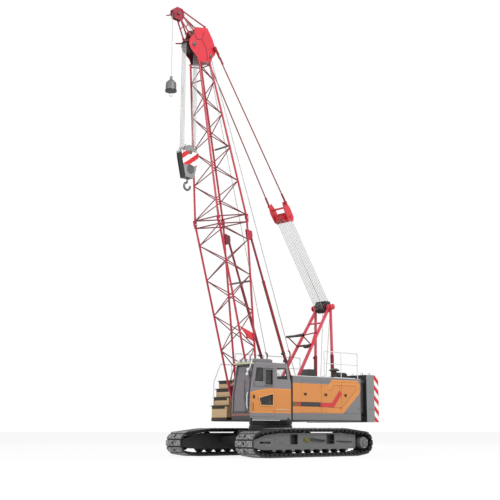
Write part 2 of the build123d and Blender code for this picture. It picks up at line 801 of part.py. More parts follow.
def cab_glass():
    """Panes set in the middle of the cab's walls."""
    middle = (cab_wall - glass_thickness) / 2
    panes = []
    for outline, y in ((rear_window, cab_outside - cab_wall), (rear_window, cab_inside),
                       (door_window, cab_inside)):
        panes.append(plate(outline, y + middle, y + middle + glass_thickness))
    outer = inset(cab_side, middle)
    inner = inset(cab_side, middle + glass_thickness)
    band = plate(outer, cab_inside + 10, cab_outside - 10) - plate(inner, cab_inside, cab_outside)
    panes.append(band & block(cab_front - 260, cab_front + 60, cab_inside + 70, cab_outside - 70,
                              1480, 3030))
    panes.append(band & block(cab_rear - 30, cab_rear + 260, cab_inside + 120, cab_outside - 120,
                              2300, 2960))
    panes.append(band & block(1420, 2080, cab_inside + 110, cab_outside - 110, cab_top - 60,
                              cab_top + 1))
    return panes


def door_inset(points, amount):
    """Door outline moved inwards by its running gap."""
    return inset(points, amount)


def cab_door():
    """Cab door with its upper and lower windows cut."""
    leaf = plate(door_inset(cab_door_side, moving_gap), cab_outside - cab_wall, cab_outside)
    leaf -= plate(door_window, cab_outside - cab_wall - 1, cab_outside + 1)
    leaf -= plate(low_window, cab_outside - cab_wall - 1, cab_outside + 1)
    leaf += block(1790, 1830, cab_outside - cab_wall, cab_outside, 2325, 2965)
    return joined([leaf, *hinge_straps(cab_door_rear, cab_outside, cab_hinge_low, cab_hinge_high)])


def cab_door_glass():
    """Panes of the cab door."""
    y = cab_outside - (cab_wall + glass_thickness) / 2
    upper = plate(door_window, y, y + glass_thickness)
    upper -= block(1790, 1830, y - 5, y + 20, 2300, 3000)
    return [*upper.solids(), plate(low_window, y, y + glass_thickness)]


def cab_seat():
    """Operator's seat with a pedestal, cushion, back and headrest."""
    y = (cab_inside + cab_outside) / 2
    floor = cab_floor + cab_wall
    pieces = [block(1050, 1400, y - 170, y + 170, floor, floor + 330),
              block(980, 1500, y - 240, y + 240, floor + 320, floor + 460),
              plate([(980, floor + 400), (1090, floor + 400), (1000, floor + 1120), (910, floor + 1120)],
                    y - 230, y + 230),
              plate([(905, floor + 1140), (985, floor + 1140), (965, floor + 1330), (900, floor + 1330)],
                    y - 130, y + 130),
              block(925, 965, y - 60, y + 60, floor + 1100, floor + 1160)]
    return joined(pieces)


def cab_controls():
    """Control stands beside the seat and the pedals' box."""
    y = (cab_inside + cab_outside) / 2
    floor = cab_floor + cab_wall
    pieces = []
    for side in (-1, 1):
        centre = y + side * 320
        pieces.append(plate([(1150, floor), (1560, floor), (1650, floor + 560), (1150, floor + 600)],
                            centre - 60, centre + 60)
                      + bar((1560, centre, floor + 540), (1620, centre, floor + 760), 16))
    pieces.append(plate([(2080, floor), (2380, floor), (2380, floor + 300), (2250, floor + 120)],
                        y - 230, y + 230))
    return pieces


def build_upper():
    """Write the pieces that turn with the revolving frame."""
    write("deck_frame", deck_frame())
    write("house_left", house())
    write("house_right", mirrored(house()))
    for part_name, x0, x1 in door_places:
        leaf = house_door(x0, x1)
        write(f"left_door_{part_name}", leaf)
        write(f"right_door_{part_name}", mirrored(leaf))
    engine_front = -1350
    write("engine", block(house_rear + 300, engine_front, -house_outside + 200, -house_inside - 110,
                          deck_top, deck_top + 950))
    bottom = counterweight_bottom
    for name, height in zip(("lower", "middle", "upper"), slab_heights):
        write(f"counterweight_{name}", counterweight(bottom, height))
        bottom += height
    write("step_box", step_box())
    write("handrails", *handrails())
    write("cab_shell", cab_shell())
    write("cab_glass", *cab_glass())
    write("cab_door", cab_door())
    write("cab_door_glass", *cab_door_glass())
    write("cab_seat", cab_seat())
    write("cab_controls", *cab_controls())
    write("air_cleaner", air_cleaner())
    write("roof_locker", roof_locker())
    write("gantry_front", gantry_front())
    write("gantry_rear", gantry_rear())
    write("gantry_head", gantry_head())
    write("rope_guide", rope_guide())
    for node, x, z, barrel, rope, flange in drums:
        write(node, drum(x, z, barrel, rope, flange))
    write("backstop_tubes", *both(backstop_tube()))
    write("backstop_rods", *both(backstop_rod()))


def air_cleaner():
    """Mushroom-capped intake with its canister on the left roof."""
    x, y = -2300, 1020
    base = house_top
    profile = [(0, 0), (110, 0), (110, 150), (75, 190), (75, 270), (190, 290), (190, 330), (90, 380),
               (0, 385)]
    face = make_face(Polyline([(x + r, y, base + h) for r, h in profile], close=True))
    intake = revolve(face, Axis((x, y, 0), (0, 0, 1)))
    canister = bar((x - 560, y, base + 130), (x, y, base + 130), 115)
    feet = [block(x - k - 25, x - k + 25, y - 90, y + 90, base, base + 60) for k in (160, 460)]
    return joined([intake, canister] + feet)


def roof_locker():
    """Sloped locker on the left roof behind the cab."""
    return plate([(-1250, house_top), (-720, house_top), (-900, house_top + 300),
                  (-1250, house_top + 300)], 760, 1060)


def backstop_point(along):
    """Point (x, z) at a distance from the backstop's foot pin."""
    return (backstop_foot_x + along * backstop_dir[0], backstop_foot_z + along * backstop_dir[1])


def backstop_tube():
    """Outer tube with a foot eye and a gland at its mouth."""
    y = backstop_half
    x0, z0 = backstop_point(100)
    x1, z1 = backstop_point(backstop_tube_length)
    tube = bar((x0, y, z0), (x1, y, z1), backstop_radius)
    gland_x, gland_z = backstop_point(backstop_tube_length - 80)
    tube += bar((gland_x, y, gland_z), (x1, y, z1), backstop_radius + 6)
    bore_x, bore_z = backstop_point(backstop_length - rod_length() - 60)
    tube -= bar((bore_x, y, bore_z), (x1, y, z1), backstop_rod_radius + running_gap)
    eye = wheel(backstop_foot_x, backstop_foot_z, 58, y - 30, y + 30)
    neck_x, neck_z = backstop_point(120)
    eye += beam((backstop_foot_x, y, backstop_foot_z), (neck_x, y, neck_z), 60, 90)
    tube += eye
    return tube - wheel(backstop_foot_x, backstop_foot_z, 30 + running_gap, y - 40, y + 40)


def rod_length():
    """Rod length that stays in the tube over the whole stroke."""
    return backstop_length - backstop_tube_length + backstop_stroke + 250


def backstop_rod():
    """Sliding rod with the eye that meets the boom's lug."""
    y = backstop_half
    x0, z0 = backstop_point(backstop_length - rod_length())
    x1, z1 = backstop_point(backstop_length - 200)
    eye = wheel(*backstop_eye, 55, y - 30, y + 30)
    neck = beam((x1, y, z1), (backstop_eye[0], y, backstop_eye[1]), 56, 70)
    return bar((x0, y, z0), (x1, y, z1), backstop_rod_radius) + neck + eye


# ---- Boom --------------------------------------------------------------------------
corners = [(1, 1), (1, -1), (-1, -1), (-1, 1)]


def lattice(start, end, open_front=0):
    """Four chords with zigzag lacing on each face and a frame at each end.

    The front face stays open over the last open_front panels, where the ropes pass.
    """
    pieces = []
    for front, left in corners:
        pieces.append(bar(corner(start, front, left), corner(end, front, left), chord_radius))
    end_margin = 75
    first, last = start + end_margin, end - end_margin
    step = (last - first) / lacing_panels
    for k, (a, b) in enumerate(zip(corners, corners[1:] + corners[:1])):
        open_panels = open_front if k == 0 else 0
        for i in range(lacing_panels - open_panels):
            ends = (a, b) if (i + k) % 2 else (b, a)
            pieces.append(bar(corner(first + i * step, *ends[0]),
                              corner(first + (i + 1) * step, *ends[1]), lacing_radius))
        for reach in (first, last - open_panels * step):
            pieces.append(bar(corner(reach, *a), corner(reach, *b), lacing_radius + 5))
    return pieces


def chord_joint_eye(front, left):
    """Tongue on the base section's chord end, with the bore of its pin."""
    width, depth = half_section(joint_reach)
    y, t = left * width, front * depth
    tongue = boom_plate([(joint_reach - 150, t - joint_lug_half), (joint_reach + 46, t - joint_lug_half),
                         (joint_reach + 46, t + joint_lug_half),
                         (joint_reach - 150, t + joint_lug_half)],
                        y - joint_tongue, y + joint_tongue)
    return tongue - wheel(*on_boom(joint_reach, t), joint_pin_radius + running_gap, y - 90, y + 90)


def chord_joint_fork(front, left):
    """Fork on the top section's chord end, with its pin."""
    width, depth = half_section(joint_reach)
    y, t = left * width, front * depth
    pieces = [wheel(*on_boom(joint_reach, t), joint_pin_radius, y - 58, y + 58)]
    for side in (-1, 1):
        y0, y1 = sorted((y + side * (joint_tongue + running_gap), y + side * (joint_tongue + 22)))
        pieces.append(boom_plate([(joint_reach - 46, t - joint_lug_half),
                                  (joint_reach + 150, t - joint_lug_half),
                                  (joint_reach + 150, t + joint_lug_half),
                                  (joint_reach - 46, t + joint_lug_half)], y0, y1))
    return pieces


def boom_base():
    """Lower section with foot ears and the backstops' lugs."""
    pieces = lattice(ear_length - 60, joint_reach - 60)
    pieces += [chord_joint_eye(*c) for c in corners]
    y = foot_width / 2
    depth = half_section(ear_length)[1] + chord_radius - 8
    ear = boom_plate([(-60, -90), (0, -100), (ear_length, -depth), (ear_length, depth), (0, 100),
                      (-60, 90)], y - ear_thickness / 2, y + ear_thickness / 2)
    ear -= wheel(boom_foot_x, boom_foot_z, boom_foot_pin_radius + running_gap, y - 100, y + 100)
    pieces += both(ear)
    lug_back = -half_section(6000)[1]
    for y0 in (backstop_half - 30.5 - 25, backstop_half + 30.5):
        lug = boom_plate([(5800, lug_back + 10), (6200, lug_back + 10), (6110, lug_back - 215),
                          (5910, lug_back - 215)], y0, y0 + 25)
        pieces += both(lug)
    pieces += both(boom_plate([(5800, lug_back - 30), (6200, lug_back - 30), (6200, lug_back - 62),
                               (5800, lug_back - 62)], backstop_half - 55.5, backstop_half + 55.5))
    return joined(pieces)


def boom_top():
    """Upper section that tapers to the head."""
    pieces = lattice(joint_reach + 60, head_reach, open_front=1)
    for c in corners:
        pieces += chord_joint_fork(*c)
    beyond = boom_plate([(head_reach, -600), (head_reach + 400, -600), (head_reach + 400, 600),
                         (head_reach, 600)], -600, 600)
    return joined(pieces) - beyond


# (reach, offset) outline of the head's side plates
head_outline = [(head_reach, -250), (head_reach, 250), (12600, 300), (head_sheave_reach - 180, 540),
                (head_sheave_reach, 600), (head_sheave_reach + 180, 540), (13420, 330), (13700, 200),
                (13710, -375), (13300, -560), (pendant_reach - 60, -650), (12700, -560), (12520, -330)]


def boom_head():
    """Side plates, shafts and ties of the boom's head, with the pendants' lugs."""
    inside = head_plate_half - head_plate_thickness
    side = boom_plate(head_outline, inside, head_plate_half)
    pieces = both(side)
    frame_half = head_width / 2 + 45
    bulkhead = boom_plate([(head_reach, -frame_half), (head_reach + 28, -frame_half),
                           (head_reach + 28, frame_half), (head_reach, frame_half)],
                          -frame_half, frame_half)
    bulkhead -= boom_plate([(head_reach - 10, 120), (head_reach + 60, 120), (head_reach + 60, 400),
                            (head_reach - 10, 400)], -165, 165)
    pieces.append(bulkhead)
    # (reach, offset, radius) of the cross shafts
    for reach, offset, radius in ((head_sheave_reach, head_sheave_offset, sheave_bore), (12560, -60, 40),
                                  (13550, -150, 50), (pendant_reach, pendant_offset, 35),
                                  (guide_sheave_reach, guide_sheave_offset, sheave_bore)):
        x, z = on_boom(reach, offset)
        pieces.append(wheel(x, z, radius, -head_plate_half, head_plate_half))
    x, z = on_boom(pendant_reach, pendant_offset)
    pieces += both(wheel(x, z, 34, head_plate_half - 5, pendant_y + 40))
    cover = boom_plate([(13350, -420), (13680, -280), (13680, -255), (13350, -395)],
                       -inside - 5, inside + 5)
    pieces.append(cover)
    return joined(pieces)


pendant_y = head_plate_half + 60
bridle_end = 70
bridle_eye_y = bridle_half + 70


def sheave(reach, offset, radius, y, width):
    """Grooved sheave on the boom."""
    x, z = on_boom(reach, offset)
    half = width / 2
    profile = [(sheave_bore, -half), (radius, -half), (radius - groove_depth, 0), (radius, half),
               (sheave_bore, half)]
    return turned(profile, x, z, y)


def boom_sheaves():
    """Head sheaves, guide sheave and tip sheave."""
    sheaves = [sheave(head_sheave_reach, head_sheave_offset, head_sheave_radius, y, 62)
               for y in (-102, -34, 34, 102)]
    sheaves += [sheave(guide_sheave_reach, guide_sheave_offset, 170, y, 62) for y in (-80, 80)]
    sheaves.append(sheave(tip_sheave_reach, tip_sheave_offset, tip_sheave_radius, 0, 70))
    return sheaves


strut_radius = 27
strut_eye_radius = 38


def edge_seat(edge, share, distance):
    """Place outside one edge of the head's outline, at a distance from it."""
    (s0, t0), (s1, t1) = head_outline[edge], head_outline[edge + 1]
    length = hypot(s1 - s0, t1 - t0)
    return (s0 + (s1 - s0) * share - (t1 - t0) / length * distance,
            t0 + (t1 - t0) * share + (s1 - s0) / length * distance)


def tip_extension():
    """Short fixed jib of round struts with plates round its sheave."""
    reach, offset = tip_sheave_reach, tip_sheave_offset
    x, z = on_boom(reach, offset)
    pieces = [wheel(x, z, sheave_bore, -150, 150)]
    for way in (-1, 1):
        y0 = way * 75 - 12
        pieces.append(boom_plate([(reach - 260, offset - 130), (reach - 170, offset + 200),
                                  (reach + 130, offset + 230), (reach + 250, offset + 20),
                                  (reach + 190, offset - 230), (reach - 60, offset - 270)],
                                 y0, y0 + 24))
        tail = way * (head_plate_half - head_plate_thickness / 2)
        near = way * 90
        # (edge of the head's outline, share along it, reach and offset at the tip plates)
        seats = ((5, 0.5, reach - 200, offset - 60), (6, 0.5, reach - 90, offset - 200),
                 (7, 0.8, reach + 120, offset - 190))
        struts = []
        for edge, share, s1, t1 in seats:
            s0, t0 = edge_seat(edge, share, strut_eye_radius + running_gap)
            struts.append((s0, t0, s1, t1))
            pieces.append(bar(boom_point(s0, t0, tail), boom_point(s1, t1, near), strut_radius))
            pieces.append(bar(boom_point(s0, t0, tail - way * 24), boom_point(s0, t0, tail + way * 24),
                              strut_eye_radius))
        middle = [((s0 + s1) / 2, (t0 + t1) / 2) for s0, t0, s1, t1 in struts[:2]]
        level = (tail + near) / 2
        pieces.append(bar(boom_point(*middle[0], level), boom_point(*middle[1], level), 18))
    return joined(pieces)


def toward(start, end, distance):
    """Point at a distance from start towards end."""
    step = Vector(*end) - Vector(*start)
    return tuple(Vector(*start) + step.normalized() * distance)


def pendant():
    """Bar pendant from the head's pin to the bridle, with an eye at each end."""
    x, z = on_boom(pendant_reach, pendant_offset)
    top = (x, pendant_y, z)
    low = (bridle_top_x, bridle_eye_y, bridle_top_z)
    eye = wheel(x, z, 62, pendant_y - 22, pendant_y + 22)
    eye -= wheel(x, z, 34, pendant_y - 40, pendant_y + 40)
    foot = wheel(bridle_top_x, bridle_top_z, 62, bridle_half + 30, bridle_eye_y + 22)
    foot -= wheel(bridle_top_x, bridle_top_z, 34, bridle_half, bridle_eye_y + 60)
    link = bar(toward(top, low, 50), toward(low, top, 50), pendant_radius)
    fork = bar(toward(top, low, 55), toward(top, low, 420), 38)
    end = bar(toward(low, top, 380), toward(low, top, 55), 38)
    return joined([eye, foot, link, fork, end])


bridle_line = (gantry_head_x - bridle_top_x, gantry_head_z - bridle_top_z)


def bridle():
    """Equaliser frame: two side plates and a shaft with its sheaves."""
    length = hypot(*bridle_line)
    ux, uz = bridle_line[0] / length, bridle_line[1] / length
    nx, nz = uz, -ux

    def at(along, across):
        return (bridle_top_x + along * ux + across * nx, bridle_top_z + along * uz + across * nz)

    side = plate([at(*p) for p in ((-bridle_end, -70), (-bridle_end, 70), (260, 150), (640, 130), (760, 40),
                                   (760, -40), (640, -130), (260, -150))],
                 bridle_half - 30, bridle_half + 30)
    pieces = both(side)
    shaft = at(560, 0)
    pieces.append(wheel(*shaft, 55, -bridle_half - 75, bridle_half + 75))
    pieces += both(wheel(bridle_top_x, bridle_top_z, 34, bridle_half, bridle_eye_y + 36))
    pieces.append(wheel(*at(170, 0), 40, -bridle_half, bridle_half))
    groove = [(40, -28), (190, -28), (190 - groove_depth, 0), (190, 28), (40, 28)]
    for i in range(6):
        pieces.append(turned(groove, *shaft, -190 + 76 * i))
    return joined(pieces)


def build_boom():
    """Write the boom and everything that is fast to it."""
    write("boom_base", boom_base())
    write("boom_top", boom_top())
    write("boom_head", boom_head())
    write("boom_sheaves", *boom_sheaves())
    write("tip_extension", tip_extension())
    write("pendants", *both(pendant()))
    write("bridle", bridle())


# ---- Hooks ---------------------------------------------------------------------------
def hook(x, z, length, y=0):
    """Forged hook of a given length, hanging from a shank whose top is at (x, z)."""
    bowl = 0.2 * length
    thick = 0.42 * bowl
    centre_z = z - length + bowl + 2 * thick
    arc = ThreePointArc((x, y, centre_z + bowl + thick), (x + bowl + thick, y, centre_z),
                        (x, y, centre_z - bowl - thick))
    back = ThreePointArc((x, y, centre_z - bowl - thick),
                         (x - 0.75 * (bowl + thick), y, centre_z - 0.66 * (bowl + thick)),
                         (x - bowl - thick, y, centre_z))
    path = Wire([arc, back])
    section = Plane(origin=path @ 0, z_dir=path % 0) * Circle(thick)
    curve = sweep(section, path=path)
    shank = bar((x, y, centre_z + bowl + 0.6 * thick), (x, y, z), 0.75 * thick)
    tip = Pos(x - bowl - thick, y, centre_z) * Sphere(thick)
    return curve + shank + tip


def main_falls():
    """Four parts of rope from the head sheaves to the hook block's sheaves."""
    x, z = on_boom(head_sheave_reach, head_sheave_offset)
    half = head_sheave_radius - rope_seat
    low = hook_block_top - head_sheave_radius
    ropes = []
    for way in (-1, 1):
        for y in (-102, -34, 34, 102):
            ropes.append(bar((x + way * half, y, low), (x + way * half, y, z), rope_radius))
    return ropes


def hook_block():
    """Sheaves between two shield-shaped side plates with a black edge plate and a cross head."""
    x, _ = on_boom(head_sheave_reach, head_sheave_offset)
    top = hook_block_top - hook_plate_drop
    bottom = hook_block_top - hook_block_height
    half = hook_block_width / 2
    half_y = hook_block_thickness / 2
    shield = [(x - half, top), (x + half, top), (x + half - 40, top - 260), (x + 190, bottom),
              (x - 190, bottom), (x - half + 40, top - 260)]
    pieces = both(plate(shield, half_y - 25, half_y))
    axle_z = hook_block_top - head_sheave_radius
    pieces.append(wheel(x, axle_z, 48, -half_y, half_y))
    rim = head_sheave_radius
    groove = [(40, -31), (rim, -31), (rim - groove_depth, 0), (rim, 31), (40, 31)]
    pieces += [turned(groove, x, axle_z, y) for y in (-102, -34, 34, 102)]
    for way in (-1, 1):
        pieces.append(plate([(x + way * (half - 30), top - 20), (x + way * (half - 8), top - 20),
                             (x + way * 185, bottom + 5), (x + way * 140, bottom + 5)],
                            -half_y + 20, half_y - 20))
    pieces.append(block(x - 170, x + 170, -half_y + 10, half_y - 10, bottom, bottom + 130))
    return joined(pieces)


def ball_weight():
    """Bell-shaped overhaul weight with a rope socket on top."""
    x = aux_line_x
    profile = [(0, 0), (45, 0), (45, -110), (100, -150), (ball_radius - 15, -230), (ball_radius, -330),
               (ball_radius, -ball_height + 60), (ball_radius + 15, -ball_height + 50),
               (ball_radius + 15, -ball_height), (0, -ball_height)]
    face = make_face(Polyline([(x + r, 0, ball_top + h) for r, h in profile], close=True))
    return revolve(face, Axis((x, 0, 0), (0, 0, 1)))


aux_line_x = on_boom(tip_sheave_reach, tip_sheave_offset)[0] + tip_sheave_radius - rope_seat


def build_hooks():
    """Write the hooks, their ropes and weights."""
    x, _ = on_boom(head_sheave_reach, head_sheave_offset)
    block_bottom = hook_block_top - hook_block_height
    write("main_falls", *main_falls())
    write("hook_block", hook_block())
    write("main_hook", hook(x, block_bottom, main_hook_length))
    tip_z = on_boom(tip_sheave_reach, tip_sheave_offset)[1]
    write("aux_rope", bar((aux_line_x, 0, ball_top), (aux_line_x, 0, tip_z), rope_radius))
    write("aux_ball", ball_weight())
    write("aux_hook", hook(aux_line_x, ball_top - ball_height, aux_hook_length))


build_undercarriage()
build_upper()
build_boom()
build_hooks()
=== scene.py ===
"""Finishes, fittings, ropes and studio for a crawler crane with a lattice boom.

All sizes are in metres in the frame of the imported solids: +X to the front, +Y to the
cab side, +Z up, with the origin on the ground under the slewing axis.
"""
import logging
import math
from contextlib import contextmanager
from dataclasses import dataclass, field
from enum import Enum
from typing import Callable, Iterator, Optional, Sequence, Union

import bpy
from mathutils import Matrix, Vector

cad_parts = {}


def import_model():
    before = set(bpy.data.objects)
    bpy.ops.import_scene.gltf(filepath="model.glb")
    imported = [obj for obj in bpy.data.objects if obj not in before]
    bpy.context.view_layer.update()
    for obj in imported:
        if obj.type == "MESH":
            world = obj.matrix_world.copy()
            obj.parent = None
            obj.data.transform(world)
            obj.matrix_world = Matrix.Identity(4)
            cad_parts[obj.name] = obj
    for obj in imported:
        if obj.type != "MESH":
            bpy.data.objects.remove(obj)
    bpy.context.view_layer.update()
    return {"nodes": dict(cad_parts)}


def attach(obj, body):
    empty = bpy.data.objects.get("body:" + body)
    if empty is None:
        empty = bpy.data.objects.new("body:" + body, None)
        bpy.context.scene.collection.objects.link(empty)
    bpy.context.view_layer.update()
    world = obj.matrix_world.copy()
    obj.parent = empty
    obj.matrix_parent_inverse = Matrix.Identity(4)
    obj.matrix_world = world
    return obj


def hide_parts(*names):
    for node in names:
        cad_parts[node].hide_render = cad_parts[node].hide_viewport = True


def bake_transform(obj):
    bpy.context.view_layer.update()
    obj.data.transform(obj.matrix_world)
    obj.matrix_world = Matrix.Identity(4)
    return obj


log = logging.getLogger("crane")
Point = tuple[float, float, float]
Mesh = bpy.types.Object
Number = Union[float, "Field"]
Colour = Union[Point, "Field"]
AHEAD, ACROSS, UP = (1, 0, 0), (0, 1, 0), (0, 0, 1)
MIRROR = Matrix.Scale(-1, 4, ACROSS)
WHEEL_X, WHEEL_Z = 2.58, 0.457
GANTRY_HEAD: Point = (-2.805, 0.0, 5.524)
GUIDE: Point = (3.263, 0.0, 14.172)
HEAD: Point = (4.0376, 0.0, 14.4416)
TIP: Point = (4.6521, 0.0, 15.4748)


class Side(Enum):
    """Side of the machine, as the sign of Y."""

    LEFT = 1
    RIGHT = -1


class Body(str, Enum):
    """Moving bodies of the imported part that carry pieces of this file."""

    GROUND = "undercarriage"
    UPPER = "upper"
    BOOM = "boom"
    MAIN_HOOK = "main_hook_line"
    DOOR = "cab_door_leaf"
    WINCH_FRONT = "winch_front"
    WINCH_MAIN = "winch_main"
    WINCH_BOOM = "winch_boom"
    STOP_TUBE = "backstop_outer"
    LEFT_FRONT = "left_leaf_front"
    LEFT_MIDDLE = "left_leaf_middle"
    LEFT_REAR = "left_leaf_rear"
    RIGHT_FRONT = "right_leaf_front"
    RIGHT_MIDDLE = "right_leaf_middle"
    RIGHT_REAR = "right_leaf_rear"


@dataclass(frozen=True)
class Lattice:
    """Centre line of the boom, and how its half depth and half width taper."""

    foot: Point = (1.219, 0.0, 1.694)
    lean: float = 0.187381
    rise: float = 0.982287
    depth: tuple = (0.08636, 0.1, 1.14793, 0.07241)
    width: tuple = (0.014394, 0.55, 1.09448, 0.068103)

    def tapers(self, reach: Number) -> list[tuple[Number, Number]]:
        """Half depth and half width at a reach, each as the base's and the top's taper."""
        return [(reach * a + b, c - reach * d) for a, b, c, d in (self.depth, self.width)]

    def at(self, reach: float, offset: float, y: float) -> Point:
        """Point at a reach along the boom, an offset to its front and a place across it."""
        return (self.foot[0] + reach * self.lean + offset * self.rise, y,
                self.foot[2] + reach * self.rise - offset * self.lean)


LATTICE = Lattice()


# ---- Shader expressions -----------------------------------------------------------


def operator(name: str, flipped: bool = False) -> Callable[..., "Field"]:
    """Operator on fields that adds one Math node.

    Args:
        name: the node's operation.
        flipped: whether the field comes second.

    Returns:
        The method for the class.
    """
    def apply(self: "Field", other: Number = 0.0) -> "Field":
        """Add the node."""
        pair = {0: other, 1: self} if flipped else {0: self, 1: other}
        return self.shade.node("ShaderNodeMath", {"operation": name}, pair)
    return apply


class Field:
    """A number that varies over a surface. | is the larger of two masks and & the smaller."""

    __add__, __radd__ = operator("ADD"), operator("ADD", True)
    __sub__, __rsub__ = operator("SUBTRACT"), operator("SUBTRACT", True)
    __mul__, __rmul__ = operator("MULTIPLY"), operator("MULTIPLY", True)
    __gt__, __lt__ = operator("GREATER_THAN"), operator("LESS_THAN")
    __or__, __and__ = operator("MAXIMUM"), operator("MINIMUM")
    __abs__, wave, fraction = operator("ABSOLUTE"), operator("SINE"), operator("FRACT")

    def __init__(self, shade: "Nodes", socket: bpy.types.NodeSocket) -> None:
        """Wrap one output socket of a node tree."""
        self.shade = shade
        self.socket = socket

    def part(self, period: float) -> "Field":
        """Share of the way through each period, from 0 to 1."""
        return (self * (1.0 / period)).fraction()

    def clamp(self) -> "Field":
        """Kept between 0 and 1."""
        return (self | 0.0) & 1.0

    def between(self, low: float, high: float) -> "Field":
        """1 between two places."""
        return (self > low) * (self < high)

    def smooth(self, low: float, high: float) -> "Field":
        """Soft step from 0 at low to 1 at high."""
        settings = {"interpolation_type": "SMOOTHSTEP"}
        return self.shade.node("ShaderNodeMapRange", settings, {0: self, 1: low, 2: high})

    def line(self, place: Number, half: float) -> "Field":
        """1 within half a width of a place."""
        return abs(self - place) < half


class Nodes:
    """A node tree that expressions add their nodes to."""

    def __init__(self, tree: bpy.types.NodeTree) -> None:
        """Keep the tree."""
        self.tree = tree

    def node(self, kind: str, settings: dict, values: dict, output: Union[int, str] = 0) -> Field:
        """Add any node.

        Args:
            kind: Blender's name for the node type.
            settings: properties to set before the sockets.
            values: numbers, colours, sockets or fields, by socket index or name.
            output: the output that is returned.

        Returns:
            The chosen output as a field.
        """
        made = self.tree.nodes.new(kind)
        for key, value in settings.items():
            setattr(made, key, value)
        self.feed(made, values)
        return Field(self, made.outputs[output])

    def feed(self, node: bpy.types.Node, values: dict) -> None:
        """Set or link a node's sockets.

        Args:
            node: the node whose sockets are fed.
            values: numbers, colours, sockets or fields, by socket index or name.
        """
        for key, value in values.items():
            if isinstance(value, Field):
                value = value.socket
            if isinstance(value, bpy.types.NodeSocket):
                self.tree.links.new(value, node.inputs[key])
            else:
                node.inputs[key].default_value = value

    def seen(self) -> Field:
        """1 for rays that see the backdrop itself or its reflection.

        Returns:
            The mask, for a Mix Shader's factor.
        """
        rays = [self.node("ShaderNodeLightPath", {}, {}, f"Is {kind} Ray")
                for kind in ("Camera", "Glossy", "Transmission")]
        return rays[0] | rays[1] | rays[2]

    def glow(self, kind: str, plain: bpy.types.NodeSocket, share: Field, end: str) -> None:
        """Mix plain white into the end of the tree.

        Args:
            kind: the node type that shines white.
            plain: output of the shader that is mixed with it.
            share: how much of the white shows.
            end: name of the output node.
        """
        white = self.node(kind, {}, {"Color": (1, 1, 1, 1), "Strength": 1.0})
        mixed = self.node("ShaderNodeMixShader", {}, {0: share, 1: plain, 2: white})
        self.feed(self.tree.nodes[end], {"Surface": mixed})


class Shade(Nodes):
    """One material's node tree, with the fields that patterns start from."""

    def __init__(self, name: str) -> None:
        """Start a material with a single surface shader.

        Args:
            name: the material's name.
        """
        self.material = bpy.data.materials.new(name)
        self.material.use_nodes = True
        super().__init__(self.material.node_tree)
        self.surface = self.tree.nodes["Principled BSDF"]
        self.place = self.node("ShaderNodeTexCoord", {}, {}, "Object")
        self.x, self.y, self.z = (self.axis(self.place, i) for i in range(3))

    def axis(self, vector: Field, index: int) -> Field:
        """One of the three numbers of a vector."""
        return self.node("ShaderNodeSeparateXYZ", {}, {0: vector}, index)

    def noise(self, scale: float, detail: float = 3.0, stretch: Point = (1, 1, 1)) -> Field:
        """Noise about 0.5 with a given number of features per metre.

        Args:
            scale: features per metre.
            detail: how many finer layers it has.
            stretch: how much it is pressed together along each axis.

        Returns:
            The noise.
        """
        where = self.node("ShaderNodeMapping", {}, {0: self.place, "Scale": stretch})
        values = {"Vector": where, "Scale": scale, "Detail": detail}
        return self.node("ShaderNodeTexNoise", {}, values)

    def cells(self, scale: float) -> Field:
        """Distance to the nearest cell centre."""
        return self.node("ShaderNodeTexVoronoi", {}, {"Vector": self.place, "Scale": scale})

    def facing(self, axis: int) -> Field:
        """How far the surface faces along one axis of its object, from -1 to 1."""
        return self.axis(self.node("ShaderNodeTexCoord", {}, {}, "Normal"), axis)

    def blend(self, base: Colour, top: Colour, share: Number) -> Field:
        """Mix two colours.

        Args:
            base: colour where the share is 0.
            top: colour where the share is 1.
            share: the share.

        Returns:
            The mixed colour.
        """
        pair = [c if isinstance(c, Field) else (*c[:3], 1.0) for c in (base, top)]
        values = {0: share, 6: pair[0], 7: pair[1]}
        return self.node("ShaderNodeMix", {"data_type": "RGBA"}, values, 2)

    def layers(self, colour: Colour, *tops: tuple[Colour, Number]) -> Colour:
        """Lay colours over one another, each with its share.

        Args:
            colour: the lowest colour.
            tops: colours from below upwards, each with its share.

        Returns:
            The colour that is seen.
        """
        for top, share in tops:
            colour = self.blend(colour, top, share)
        return colour

    def finish(self, values: dict, height: Optional[Field] = None, depth: float = 0.001) -> None:
        """Set the surface's sockets and its bump.

        Args:
            values: constants, colours or fields by socket name.
            height: field that raises the surface where it is 1.
            depth: height in metres of the raised places.
        """
        self.feed(self.surface, values)
        if height is not None:
            relief = {"Height": height, "Distance": depth, "Strength": 1.0}
            self.feed(self.surface, {"Normal": self.node("ShaderNodeBump", {}, relief)})


def paint(red: int, green: int, blue: int) -> Point:
    """Linear colour from the 0 to 255 values on a paint chart."""
    return tuple(c / 12.92 if c <= 0.04045 else ((c + 0.055) / 1.055) ** 2.4
                 for c in (red / 255, green / 255, blue / 255))


def times(colour: Point, factor: float) -> Point:
    """Colour made darker or lighter."""
    return tuple(min(1.0, c * factor) for c in colour)


# ---- Finishes ----------------------------------------------------------------------

# GAP_SHADE: painted shade where the cab, the houses and the counterweight meet
ORANGE, GAP_SHADE = paint(206, 130, 56), paint(52, 30, 18)


